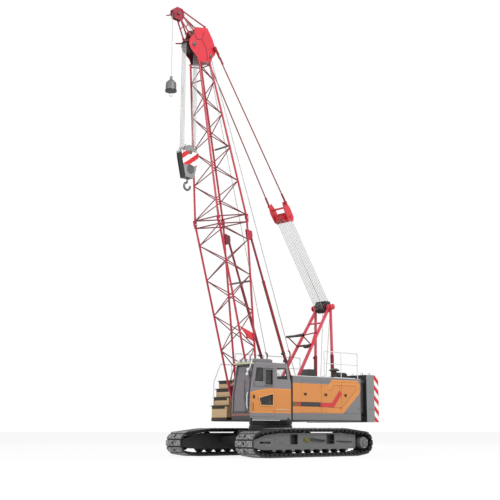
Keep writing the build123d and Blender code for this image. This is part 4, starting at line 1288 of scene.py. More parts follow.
@dataclass
class Ropes(Bench):
    """Taut ropes between the drums, the gantry head, the bridle and the boom's sheaves."""

    hoist_radius: float = 0.012
    reeving_radius: float = 0.009
    bridle: Point = (-0.659, 0.0, 8.773)
    gantry_sheave: float = 0.205
    bridle_sheave: float = 0.185
    first_part: float = -0.19
    pitch: float = 0.076
    guide_radius: float = 0.158
    head_radius: float = 0.262
    tip_radius: float = 0.195
    main_drum: Point = (-1.84, 0.0, 2.02)
    front_drum: Point = (-0.56, 0.0, 2.02)
    hoist_drum: Point = (-2.5, 0.0, 2.0)
    drum_radius: float = 0.285
    hoist_drum_radius: float = 0.2

    def tangent(self, a: Point, ra: float, b: Point, rb: float) -> tuple[Vector, Vector]:
        """Ends of the line that touches two circles in the XZ plane.

        Args:
            a: centre of the first circle.
            ra: its radius, negative for the side right of the run from a to b.
            b: centre of the second circle.
            rb: radius of the second circle, with its sign.

        Returns:
            The two points of touch.
        """
        run = Vector((b[0] - a[0], 0, b[2] - a[2]))
        along = run.normalized()
        across = Vector((-along.z, 0, along.x))
        sine = (ra - rb) / run.length
        normal = across * math.sqrt(1 - sine * sine) + along * sine
        return Vector(a) + normal * ra, Vector(b) + normal * rb

    def strand(self, low: Vector, high: Vector, low_y: float, high_y: float,
               radius: float) -> Mesh:
        """One straight rope whose ends are moved to two places across the machine."""
        low.y, high.y = low_y, high_y
        return self.rod(low, high, radius, 8, 0.002)

    def lay(self, name: str, body: Body, *ropes: Mesh) -> Mesh:
        """Finish ropes that ride on one body."""
        return self.done(name, body, "rope_strands", "rope_steel", *ropes, angle=60.0)

    def hang(self, name: str, start: Point, end: Point, *ropes: Mesh) -> None:
        """Finish ropes that run from the upper structure to the boom.

        Args:
            name: the piece's name.
            start: the end on the upper structure; not used.
            end: the end on the boom; not used.
            ropes: the ropes.
        """
        piece = self.lay(name, Body.UPPER, *ropes)
        piece.parent = None
        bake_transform(piece)

    def build_reeving(self) -> None:
        """Twelve parts between the gantry head and the bridle."""
        ropes = []
        for index in range(6):
            y = self.first_part + self.pitch * index
            for side in (1, -1):
                low, high = self.tangent(GANTRY_HEAD, self.gantry_sheave * side, self.bridle,
                                         self.bridle_sheave * side)
                ropes.append(self.strand(low, high, y, y, self.reeving_radius))
        self.hang("boom_reeving", GANTRY_HEAD, self.bridle, *ropes)

    def build_hoists(self) -> None:
        """Ropes from the two hoist drums over the guide sheaves."""
        for name, drum, low_y, high_y in (("main_hoist_rope", self.main_drum, 0.06, 0.08),
                                          ("front_hoist_rope", self.front_drum, -0.05, -0.08)):
            low, high = self.tangent(drum, -self.drum_radius, GUIDE, self.guide_radius)
            rope = self.strand(low, high, low_y, high_y, self.hoist_radius)
            self.hang(name, low, high, rope)

    def build_fixed(self) -> None:
        """Ropes that stay on one body."""
        ends = self.tangent(self.hoist_drum, self.hoist_drum_radius, GANTRY_HEAD,
                            self.gantry_sheave)
        pair = [self.strand(*ends, s * 0.12, s * 0.19, self.reeving_radius) for s in (1, -1)]
        self.lay("boom_hoist_ropes", Body.UPPER, *pair)
        runs = []
        for centre, radius, y in ((HEAD, self.head_radius, 0.08), (TIP, self.tip_radius, -0.08)):
            ends = self.tangent(GUIDE, self.guide_radius, centre, radius)
            runs.append(self.strand(*ends, y, max(y, 0.0) * 0.42, self.hoist_radius))
        self.lay("boom_top_ropes", Body.BOOM, *runs)

    def build(self) -> None:
        """Build all the ropes."""
        self.build_reeving()
        self.build_hoists()
        self.build_fixed()


# ---- Undercarriage -----------------------------------------------------------------


@dataclass
class ShoeLugs(Bench):
    """Guide lugs on the inner side of every shoe of both tracks."""

    pitch: float = 0.21404
    line_radius: float = 0.33
    low: Point = (2.1404, 0.0, 0.065)
    high: Point = (1.49828, 0.0, 0.905)
    middle: float = 1.84

    def touch(self, corner: Point, sign: int) -> tuple[float, Point]:
        """Slope and end of the run from a corner to the front wheel.

        Args:
            corner: where the run leaves the level part of the loop.
            sign: -1 for the lower run, 1 for the upper one.

        Returns:
            The slope in radians and the point of touch.
        """
        across, up = WHEEL_X - corner[0], WHEEL_Z - corner[2]
        reach = math.hypot(across, up)
        slope = math.atan2(up, across) + sign * math.asin(self.line_radius / reach)
        run = math.sqrt(reach * reach - self.line_radius * self.line_radius)
        return slope, (corner[0] + run * math.cos(slope), 0.0, corner[2] + run * math.sin(slope))

    def frames(self) -> list[tuple[float, float, float]]:
        """X, Z and heading of every shoe round the loop.

        Returns:
            The front half of the loop from the ground up, and then the rear half.
        """
        low_slope, low_end = self.touch(self.low, -1)
        high_slope, high_end = self.touch(self.high, 1)
        arc = (math.pi + high_slope - low_slope) * self.line_radius
        runs = [((0.0, 0.0, self.low[2]), 0.0, self.low[0], 0.0),
                (self.low, low_slope, math.dist(low_end, self.low), 0.0),
                (low_end, low_slope, arc, self.line_radius),
                (high_end, math.pi + high_slope, math.dist(high_end, self.high), 0.0),
                (self.high, math.pi, self.high[0], 0.0)]
        half = sum(length for _, _, length, _ in runs)
        count = round(half / self.pitch)
        placed = []
        for index in range(count):
            rest = (index + 0.5) * half / count
            for start, heading, length, radius in runs:
                if rest <= length:
                    break
                rest -= length
            if radius:
                heading += rest / radius
                place = (WHEEL_X + radius * math.sin(heading),
                         WHEEL_Z - radius * math.cos(heading))
            else:
                place = (start[0] + rest * math.cos(heading), start[2] + rest * math.sin(heading))
            placed.append((*place, heading))
        return placed + [(-x, z, 2 * math.pi - heading) for x, z, heading in placed]

    def build(self) -> None:
        """Build the lugs of both tracks."""
        moves = [shift(x, 0, z) @ Matrix.Rotation(-heading, 4, "Y")
                 for x, z, heading in self.frames()]
        pair = [self.box((-0.050, self.middle + a, -0.004), (0.050, self.middle + b, 0.050), 0.014)
                for a, b in ((0.285, 0.385), (-0.385, -0.285))]
        self.done("shoe_lugs", Body.GROUND, "track_steel", "track_steel",
                  self.repeat(self.join(pair), moves), twice=True)


@dataclass
class Tracks(Bench):
    """Covers, bolts, hoses and window rims on the two track frames."""

    face: float = 2.04
    drive_face: float = 2.18
    idler_face: float = 1.99
    windows: tuple = ((0.68, 1.03), (-1.14, -0.74))
    window_low: float = 0.43
    window_high: float = 0.755
    panels: tuple = ((-0.62, -0.10), (1.22, 1.72))

    def build_rims(self) -> None:
        """Raised rims round the windows and two pressed panels between them."""
        y0, y1 = self.face - 0.006, self.face + 0.010
        rims = [self.rim((a, y0, self.window_low), (b, y1, self.window_high), 0.022)
                for a, b in self.windows]
        rims += [self.box((a, y0, 0.46), (b, y1 - 0.002, 0.72), 0.005) for a, b in self.panels]
        self.done("frame_panels", Body.GROUND, "frame_grey", "frame_grey", *rims, twice=True)

    def build_drive(self) -> None:
        """Stepped cover and bolt circle on each final drive, and grease caps on the idlers."""
        cover = self.lathe((-WHEEL_X, self.drive_face, WHEEL_Z),
                           [(0.120, -0.01), (0.120, 0.012), (0.085, 0.016), (0.080, 0.026),
                            (0.030, 0.028)], 32, 0.002)
        cap = self.lathe((WHEEL_X, self.idler_face - 0.002, WHEEL_Z),
                         [(0.070, 0.0), (0.070, 0.020), (0.048, 0.028), (0.045, 0.045)], 28, 0.002)
        self.done("wheel_caps", Body.GROUND, "frame_grey", "frame_grey", cover, cap, twice=True)
        bolts = [self.ring(self.bolt((x + radius, y, WHEEL_Z), size), (x, y, WHEEL_Z), "Y", count)
                 for x, y, radius, count, size in ((-WHEEL_X, self.drive_face, 0.168, 16, 0.013),
                                                   (WHEEL_X, self.idler_face, 0.076, 6, 0.008))]
        self.done("wheel_bolts", Body.GROUND, "bare_steel", "bare_steel", *bolts, twice=True)

    def build_fittings(self) -> None:
        """Valve block, hoses and panel bolts on the outer side of the frames."""
        y = self.face
        block = [self.box((0.15, y - 0.01, 0.520), (0.38, y + 0.055, 0.620), 0.008, 3),
                 self.box((0.19, y + 0.04, 0.545), (0.25, y + 0.085, 0.605), 0.006),
                 self.lathe((0.32, y + 0.05, 0.57), [(0.03, 0), (0.03, 0.03), (0.02, 0.04)], 20)]
        self.done("valve_blocks", Body.GROUND, "fitting_olive", "frame_grey", *block, twice=True)
        routes = [[(0.17, y + 0.03, z), (0.02, y + 0.07, z + 0.015), (-0.20, y + 0.055, z - 0.01),
                   (-0.46, y + 0.045, z - 0.045), (-0.60, y + 0.03, z - 0.05),
                   (-0.80, y - 0.06, z - 0.02)] for z in (0.560, 0.600)]
        routes.append([(-1.05, y - 0.07, 0.53), (-1.30, y + 0.03, 0.52), (-1.70, y + 0.04, 0.50),
                       (-2.05, y + 0.02, 0.49)])
        self.done("track_hoses", Body.GROUND, "black_rubber", "frame_grey",
                  *[self.pipe(route, 0.015) for route in routes], angle=60, twice=True)
        places = [(x, y + 0.006, z) for a, b in self.panels for x in (a + 0.035, b - 0.035)
                  for z in (0.495, 0.685)]
        places += [(x, y + 0.002, z) for x in (-2.12, -1.98, 1.98, 2.14) for z in (0.40, 0.60)]
        bolts = self.repeat(self.bolt((0, 0, 0), 0.011), [shift(*place) for place in places])
        self.done("panel_bolts", Body.GROUND, "bare_steel", "frame_grey", bolts, twice=True)

    def build(self) -> None:
        """Build everything on the tracks."""
        self.build_rims()
        self.build_drive()
        self.build_fittings()


@dataclass
class Carbody(Bench):
    """Slewing ring bolts and hoses of the centre frame."""

    ring_radius: float = 0.7625
    ring_top: float = 1.05

    def build(self) -> None:
        """Build the fittings."""
        bolt = self.bolt((self.ring_radius, 0, self.ring_top), 0.012, UP)
        self.done("ring_bolts", Body.GROUND, "bare_steel", "chassis_black",
                  self.ring(bolt, (0, 0, 0), "Z", 36))
        hoses = [self.pipe([(x, 0.90, 0.72), (x, 1.10, 0.86 + x * 0.2), (x - 0.15, 1.35, 0.84),
                            (x - 0.35, 1.58, 0.66), (x - 0.40, 1.66, 0.60)], 0.016)
                 for x in (-0.16, -0.04, 0.10)]
        self.done("carbody_hoses", Body.GROUND, "black_rubber", "chassis_black", *hoses,
                  angle=60, twice=True)


# ---- Upper structure ---------------------------------------------------------------


@dataclass
class House(Bench):
    """Latches, roof edges, walkways, vents and lifting eyes of the two machinery houses."""

    roof: float = 2.75
    side: float = 1.565
    latch_z: float = 2.13
    latch_x: tuple = (-0.18, -1.23, -2.28)
    leaves: tuple = ((Body.LEFT_FRONT, Body.RIGHT_FRONT), (Body.LEFT_MIDDLE, Body.RIGHT_MIDDLE),
                     (Body.LEFT_REAR, Body.RIGHT_REAR))

    def build_latches(self) -> None:
        """One recessed latch with a lever on each of the six doors."""
        y, z = self.side + 0.022, self.latch_z
        for x, pair in zip(self.latch_x, self.leaves):
            for side, body in zip(Side, pair):
                latch = self.join([
                    self.rim((x - 0.045, y - 0.004, z - 0.03), (x + 0.045, y + 0.006, z + 0.03),
                             0.012),
                    self.box((x - 0.048, y - 0.004, z - 0.033), (x + 0.048, y + 0.001, z + 0.033),
                             0.0),
                    self.box((x - 0.03, y, z - 0.012), (x + 0.04, y + 0.011, z + 0.012))])
                if side is Side.RIGHT:
                    latch = self.repeat(latch, [MIRROR])
                self.done(f"latch_{body.value}", body, "latch_brown", "trim_plastic", latch)

    def build_roof(self) -> None:
        """Pale edge strips, walkway plates and lifting eyes on the roofs."""
        z, y = self.roof, self.side
        strips = [self.box((a, y - 0.10, z - 0.004), (b, y - 0.012, z + high))
                  for a, b, high in ((-1.62, 0.42, 0.014), (-2.86, -1.74, 0.022))]
        self.done("roof_strips", Body.UPPER, "rail_white", "body_grey", *strips, twice=True)
        plates = [self.box((a, 0.78, z - 0.002), (b, y - 0.13, z + 0.006), 0.002)
                  for a, b in ((-0.60, 0.36), (-2.02, -1.34))]
        self.done("roof_walkways", Body.UPPER, "tread_plate", "body_grey", *plates, twice=True)
        eyes = [self.eye((x, y0, z), 0.05, 0.01, 0.07, 0.010)
                for x, y0 in ((-3.02, 0.80), (-3.02, 1.44), (0.40, 0.80))]
        self.done("roof_eyes", Body.UPPER, "chassis_black", "body_grey", *eyes, angle=60,
                  twice=True)

    def build_tail(self) -> None:
        """Dark blocks in the gap between the houses and the counterweight, and a dark strip in the
        gap at the cab, which paint the shade in these gaps.
        """
        guards = [self.box((-3.44, 0.70, 2.60), (-3.145, 1.50, 2.735), 0.012),
                  self.box((-3.40, 1.36, 1.52), (-3.16, 1.46, 2.62), 0.008),
                  self.box((-3.30, 0.95, 2.73), (-3.19, 1.28, 2.79), 0.01)]
        self.done("tail_gap_shade", Body.UPPER, "chassis_black", "chassis_black", *guards, twice=True)
        self.done("cab_gap_shade", Body.UPPER, "latch_brown", "body_grey",
                  self.box((0.452, 0.92, 1.245), (0.487, 1.548, 2.74), 0.003))

    def build_vents(self) -> None:
        """Louvres in the right doors, an exhaust pipe with a rain cap, and an intake."""
        for name, body, x in (("rear_louvres", Body.RIGHT_REAR, -2.60),
                              ("middle_louvres", Body.RIGHT_MIDDLE, -1.56)):
            slat = self.box((-0.34, -0.012, -0.014), (0.34, 0.006, 0.010), 0.003)
            moves = [shift(x, -self.side - 0.020, 1.72 + 0.055 * i) for i in range(12)]
            self.done(name, body, "chassis_black", "body_grey", self.repeat(slat, moves))
        z = self.roof
        pipe = self.lathe((-2.62, -1.10, z - 0.01),
                          [(0.11, 0), (0.11, 0.02), (0.075, 0.03), (0.075, 0.30), (0.082, 0.305),
                           (0.082, 0.33)], 28, 0.002, UP)
        cap = self.lathe((-2.645, -1.10, z + 0.34), [(0.09, 0), (0.088, 0.012)], 28, 0.002,
                         (-0.22, 0, 1))
        self.done("exhaust_pipe", Body.UPPER, "exhaust_dark", "body_grey", pipe, cap)
        self.done("roof_intake", Body.UPPER, "ball_iron", "body_grey",
                  self.box((-2.80, 0.84, z - 0.01), (-2.50, 1.22, z + 0.20), 0.03, 4),
                  self.box((-2.78, 0.90, z + 0.19), (-2.56, 1.16, z + 0.225), 0.01))

    def build(self) -> None:
        """Build everything on the houses."""
        self.build_latches()
        self.build_roof()
        self.build_tail()
        self.build_vents()


@dataclass
class Counterweight(Bench):
    """Lifting eyes, tie bars and joint plates of the stacked weights."""

    top: float = 2.92
    front: float = -3.46
    side: float = 1.565

    def build(self) -> None:
        """Build the fittings."""
        top, x0, y1 = self.top, self.front, self.side
        eyes = [self.eye((x, y, top), 0.06, 0.02, 0.06, 0.016)
                for x in (-3.62, -4.05) for y in (0.35, 1.20)]
        self.done("weight_eyes", Body.UPPER, "bare_steel", "ballast_grey", *eyes, angle=60,
                  twice=True)
        ties = []
        for y in (0.62, 1.32):
            ties.append(self.rod((x0 + 0.03, y, 1.36), (x0 + 0.03, y, top - 0.12), 0.022))
            ties += [self.box((x0 - 0.01, y - 0.06, z - 0.05), (x0 + 0.06, y + 0.06, z + 0.05),
                              0.008) for z in (1.36, top - 0.14)]
        self.done("weight_ties", Body.UPPER, "chassis_black", "ballast_grey", *ties, twice=True)
        keys = [self.box((x - 0.09, y1 - 0.004, z - 0.02), (x + 0.09, y1 + 0.010, z + 0.02), 0.003)
                for x in (-3.62, -3.78) for z in (1.66, 2.30)]
        self.done("weight_keys", Body.UPPER, "ballast_paint", "ballast_grey", *keys, twice=True)


@dataclass
class Steps(Bench):
    """Dark treads and base of the stepped box, with dark strips that paint the shadow under the
    treads.
    """

    edges: tuple = ((1.50, 1.75), (1.41, 2.05), (1.30, 2.35), (1.18, 2.64))
    rear: float = 0.47
    left: float = -0.68
    right: float = -1.50

    def build(self) -> None:
        """Build the treads, the painted shadow strips under their front edges, and the base."""
        a, b = self.right, self.left
        ends = [x for x, _ in self.edges[1:]] + [self.rear]
        treads = [self.box((end - 0.01, a - 0.012, z - 0.030), (x + 0.040, b + 0.012, z + 0.010))
                  for (x, z), end in zip(self.edges, ends)]
        self.done("step_treads", Body.UPPER, "tread_plate", "body_orange", *treads)
        # painted shadow: dark strips on the risers under each tread's overhang
        nose_shadows = [self.box((x - 0.004, a + 0.02, z - 0.115), (x + 0.006, b - 0.10, z - 0.03), 0.002)
                 for x, z in self.edges]
        base = self.box((0.46, a - 0.008, 1.205), (1.512, b + 0.008, 1.335), 0.006)
        self.done("step_base_and_shadows", Body.UPPER, "step_dark", "body_orange", *nose_shadows, base)


@dataclass
class Winches(Bench):
    """Rope layers and flange bolts of the three drums."""

    half: float = 0.322
    drums: tuple = ((Body.WINCH_FRONT, -0.56, 2.02, 0.281, 0.318),
                    (Body.WINCH_MAIN, -1.84, 2.02, 0.281, 0.318),
                    (Body.WINCH_BOOM, -2.50, 2.00, 0.199, 0.218))

    def build(self) -> None:
        """Build the rope and the bolts of each drum."""
        for body, x, z, rope, flange in self.drums:
            layer = self.lathe((x, -self.half, z), [(rope, 0.0), (rope, 2 * self.half)], 64, 0.004)
            self.done(f"rope_layer_{body.value}", body, "drum_rope", "rope_steel", layer)
            bolts = self.ring(self.bolt((x + flange, 0.345, z), 0.010), (x, 0, z), "Y", 12)
            self.done(f"flange_bolts_{body.value}", body, "bare_steel", "drum_grey", bolts,
                      twice=True)


@dataclass
class Deck(Bench):
    """Tread plate, hoses, edge strip and toes on the deck."""

    top: float = 1.24

    def build(self) -> None:
        """Build the fittings."""
        z = self.top
        self.done("deck_plate", Body.UPPER, "tread_plate", "chassis_black",
                  self.box((0.50, -0.41, z - 0.002), (1.00, 0.41, z + 0.006), 0.002))
        hoses = [self.pipe([(0.60, y, z + 0.02), (0.30, y, z + 0.16), (-0.05, y * 1.5, z + 0.10),
                            (-0.15, y * 2, z + 0.02)], 0.016)
                 for y in (-0.12 + 0.07 * i for i in range(4))]
        self.done("deck_hoses", Body.UPPER, "black_rubber", "chassis_black", *hoses, angle=60)
        self.done("deck_strip", Body.UPPER, "rail_white", "body_grey",
                  self.box((1.04, 1.541, 1.208), (2.33, 1.562, 1.238)))
        toes = [self.box((x - 0.05, 1.50, 1.17), (x + 0.05, 1.575, 1.30), 0.006)
                for x in (0.66, 2.38)]
        self.done("deck_toes", Body.UPPER, "chassis_black", "chassis_black", *toes)


# ---- Operator's cab ----------------------------------------------------------------


@dataclass
class Cab(Bench):
    """Roof unit, lamps, rails, seals, wiper, door furniture and seat of the cab."""

    outer: float = 1.575
    middle: float = 1.125
    floor: float = 1.285
    tilt: float = -7.0

    def build_roof(self) -> None:
        """Raised roof unit with a cream visor and three lamps over the windscreen."""
        side = ((1.34, 3.135), (2.20, 3.135), (2.285, 3.085), (2.285, 3.150), (2.20, 3.255),
                (1.42, 3.270), (1.34, 3.235))
        unit = self.plate([(x, 0.77, z) for x, z in side], (0, 0.73, 0), 0.012)
        self.done("roof_unit", Body.UPPER, "body_grey", "body_grey", unit)
        visor = [self.box((2.24, 0.72, 3.070), (2.46, 1.53, 3.100), 0.006),
                 self.box((2.20, 0.74, 3.095), (2.30, 1.50, 3.155), 0.010)]
        visor += [self.box((2.26, y - 0.012, 3.09), (2.44, y + 0.012, 3.125))
                  for y in (0.80, 1.00, 1.25, 1.45)]
        self.done("roof_visor", Body.UPPER, "visor_cream", "body_grey", *visor)
        lens = self.lathe((2.34, 0, 3.175), [(0.035, -0.05), (0.055, -0.01), (0.055, 0.012),
                                             (0.045, 0.020)], 24, 0.002, AHEAD)
        self.done("roof_lamps", Body.UPPER, "lamp_clear", "cab_glass",
                  self.repeat(lens, [shift(y=y) for y in (0.88, 1.12, 1.37)]))

    def build_rails(self) -> None:
        """White grab rails and mirror at the front pillar, cream rail on the rear panel."""
        rails = [self.pipe([(2.34, 1.56, 3.26), (2.40, 1.58, 3.10), (2.47, 1.59, 2.94),
                            (2.52, 1.53, 2.84), (2.53, 1.49, 2.68)], 0.017),
                 self.pipe([(2.475, 1.50, 2.12), (2.53, 1.51, 2.08), (2.53, 1.51, 1.85),
                            (2.53, 1.51, 1.66), (2.475, 1.50, 1.60)], 0.014)]
        rails += [self.lathe(at, [(0.035, -0.02), (wide, 0.0), (end, 0.03)], 18,
                             towards=(0.7, 0.7, 0))
                  for at, wide, end in (((2.51, 1.53, 2.88), 0.048, 0.040),
                                        ((2.52, 1.50, 2.73), 0.044, 0.036))]
        self.done("cab_grab_rails", Body.UPPER, "rail_white", "rail_white", *rails, angle=50)
        self.done("cab_mirror", Body.UPPER, "black_plastic", "trim_plastic",
                  self.box((2.45, 1.545, 2.60), (2.49, 1.625, 2.84), 0.012, 3),
                  self.pipe([(2.42, 1.54, 2.30), (2.49, 1.57, 2.40), (2.48, 1.585, 2.62)], 0.010),
                  angle=50)
        y = self.outer
        self.done("cab_rear_rail", Body.UPPER, "step_beige", "body_orange",
                  self.box((0.60, y - 0.004, 1.552), (1.285, y + 0.016, 1.588), 0.005))

    def build_screen(self) -> None:
        """Seal round the windscreen and a wiper on it."""
        y0, y1 = 0.745, 1.505
        corners = [(2.466, 1.49), (2.436, 2.12), (2.268, 3.02)]
        loop = [(x, y0, z) for x, z in corners] + [(x, y1, z) for x, z in corners[::-1]]
        self.done("screen_seal", Body.UPPER, "black_rubber", "trim_plastic",
                  self.route(loop + loop[:1], 0.012),
                  self.route([(2.24, y1 + 0.025, 2.98), (2.43, y1 + 0.03, 2.13),
                              (2.46, y1 + 0.03, 1.50)], 0.010), angle=50)
        self.done("screen_wiper", Body.UPPER, "black_plastic", "trim_plastic",
                  self.route([(2.475, 1.38, 1.50), (2.470, 1.34, 1.95), (2.448, 1.30, 2.22)],
                             0.008),
                  self.route([(2.462, 1.33, 1.82), (2.434, 1.27, 2.20), (2.372, 1.23, 2.55)],
                             0.009),
                  self.lathe((2.462, 1.38, 1.49), [(0.025, 0), (0.025, 0.02), (0.012, 0.028)], 16,
                             towards=AHEAD), angle=50)

    def build_door(self) -> None:
        """Window frames, a lighter orange rim round the low window as a painted highlight, handle
        and pull of the cab door.
        """
        y = self.outer + 0.022
        self.done("door_window_frame", Body.DOOR, "body_grey", "body_grey",
                  self.box((1.372, y - 0.006, 2.325), (2.268, y + 0.006, 2.345), 0.003),
                  self.box((1.80, y - 0.006, 2.33), (2.262, y + 0.005, 2.500)),
                  self.rim((1.42, y - 0.008, 2.40), (1.76, y + 0.004, 2.90), 0.035, 0.004))
        # painted highlight: a lighter orange rim along the low window's bevel
        corners = ((1.380, 1.706), (1.968, 1.706), (2.056, 1.958), (1.380, 2.108), (1.380, 1.706))
        self.done("door_low_highlight", Body.DOOR, "orange_highlight", "body_orange",
                  self.route([(x, y, z) for x, z in corners], 0.013), angle=50)
        self.done("door_handle", Body.DOOR, "latch_brown", "trim_plastic",
                  self.box((2.235, y - 0.006, 1.935), (2.315, y + 0.003, 2.045), 0.006),
                  self.box((2.250, y, 1.955), (2.285, y + 0.018, 2.030), 0.006))
        self.done("door_pull", Body.DOOR, "black_plastic", "trim_plastic",
                  self.pipe([(2.335, y - 0.004, 1.52), (2.335, y + 0.035, 1.56),
                             (2.335, y + 0.035, 1.75), (2.335, y - 0.004, 1.79)], 0.009), angle=60)

    def pad(self, low: Point, high: Point, swell: float = 0.015, sewn: float = 0.008) -> Mesh:
        """Crowned pad with two sewn channels round it.

        Args:
            low: lowest corner of the pad before it is filled.
            high: highest corner.
            swell: how far the middle of each face stands out.
            sewn: depth of the channels.

        Returns:
            The pad.
        """
        pad = self.box(low, high, 0.0)
        with self.editing(pad):
            bpy.ops.mesh.subdivide(number_cuts=11)
        middle = [(a + b) / 2 for a, b in zip(low, high)]
        half = [(b - a) / 2 for a, b in zip(low, high)]
        for vertex in pad.data.vertices:
            share = [(c - m) / h for c, m, h in zip(vertex.co, middle, half)]
            bulge = [1 - s * s for s in share]
            channel = sewn if abs(abs(share[1]) - 0.5) < 0.02 else 0.0
            sunk = (channel, 0.0, channel)
            vertex.co = [c + s * swell * bulge[i - 1] * bulge[i - 2] - s * sunk[i]
                         for i, (c, s) in enumerate(zip(vertex.co, share))]
        return self.modify(pad, "SUBSURF", {"levels": 1, "render_levels": 1})

    def build_seat(self) -> None:
        """Padded seat with a back, a headrest and arm rests on a sprung base."""
        y, z = self.middle, self.floor
        back = [self.pad((0.935, y - 0.225, z + 0.44), (1.045, y + 0.225, z + 1.10)),
                self.pad((0.900, y - 0.130, z + 1.14), (0.985, y + 0.130, z + 1.33))]
        for pad in back:
            self.hold(pad)
            bpy.ops.transform.rotate(value=math.radians(self.tilt), orient_axis="Y",
                                     center_override=(1.04, y, z + 0.44))
            self.settle(pad)
        arms = [self.box((1.02, y + s * 0.275 - 0.03, z + 0.62),
                         (1.36, y + s * 0.275 + 0.03, z + 0.67), 0.02, 3) for s in (1, -1)]
        seat = self.done("seat_cushions", Body.UPPER, "seat_cloth", "seat_fabric",
                         self.pad((0.98, y - 0.24, z + 0.33), (1.50, y + 0.24, z + 0.46)),
                         *back, *arms, angle=50)
        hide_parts("cab_seat")
        base = [self.box((1.05, y - 0.17, z - 0.002), (1.40, y + 0.17, z + 0.10), 0.01),
                self.box((1.08, y - 0.14, z + 0.09), (1.37, y + 0.14, z + 0.30), 0.02),
                self.box((1.00, y - 0.21, z + 0.29), (1.46, y + 0.21, z + 0.34), 0.01)]
        base += [self.rod((1.03, y + s * 0.275, z + 0.32), (1.03, y + s * 0.275, z + 0.63), 0.014)
                 for s in (-1, 1)]
        base += [self.box((1.02, y + s * 0.24 - 0.035, z + 0.29),
                          (1.06, y + s * 0.24 + 0.035, z + 0.34), 0.005) for s in (-1, 1)]
        self.done("seat_base", Body.UPPER, "black_plastic", "trim_plastic", *base)

    def build(self) -> None:
        """Build everything on the cab."""
        self.build_roof()
        self.build_rails()
        self.build_screen()
        self.build_door()
        self.build_seat()


# ---- Gantry, boom and hooks --------------------------------------------------------


@dataclass
class Gantry(Bench):
    """Pins, plates, rollers and leg sleeves of the gantry."""

    bar: Point = (-1.26, 0.45, 4.33)

    def build(self) -> None:
        """Build the fittings."""
        x, _, z = GANTRY_HEAD
        ends = self.lathe((x, 0.505, z), [(0.115, 0.0), (0.115, 0.022), (0.075, 0.026),
                                          (0.070, 0.050), (0.045, 0.055)], 32, 0.002)
        corners = ((-1.85, 4.00), (-1.70, 4.06), (-1.86, 4.44), (-2.02, 4.40))
        gusset = self.plate([(x, 0.405, z) for x, z in corners], (0, 0.014, 0), 0.003)
        self.done("gantry_plates", Body.UPPER, "signal_red", "stop_red", self.both(ends), gusset)
        x, half, z = self.bar
        stub = self.lathe((-2.79, 0.475, 3.62), [(0.035, 0.0), (0.035, 0.05), (0.02, 0.06)], 16,
                          towards=AHEAD)
        self.done("guide_rollers", Body.UPPER, "chassis_black", "stop_red",
                  self.rod((x, -half, z), (x, half, z), 0.0445, 24, 0.003),
                  self.lathe((-1.645, 0.10, 3.955),
                             [(0.056, 0.0), (0.068, 0.02), (0.068, 0.20), (0.056, 0.22)]),
                  *[self.box((-1.72, y0, 3.93), (-1.62, y1, 4.035))
                    for y0, y1 in ((0.085, 0.105), (0.315, 0.335))], self.both(stub))
        corners = ((-2.878, 0.424), (-2.774, 0.424), (-2.774, 0.518), (-2.878, 0.518))
        sleeve = self.plate([(x, y, 1.72) for x, y in corners], (0.0105, -0.0385, 1.98), 0.004)
        self.done("leg_sleeves", Body.UPPER, "stop_red", "boom_red", sleeve, twice=True)
        moves = [shift(x=dx, z=dz) for dx in (0.0, 0.10, 0.20) for dz in (0.0, 0.07)]
        self.done("foot_bolts", Body.UPPER, "bare_steel", "boom_red",
                  self.repeat(self.bolt((-0.36, 0.518, 1.70), 0.016), moves), twice=True)


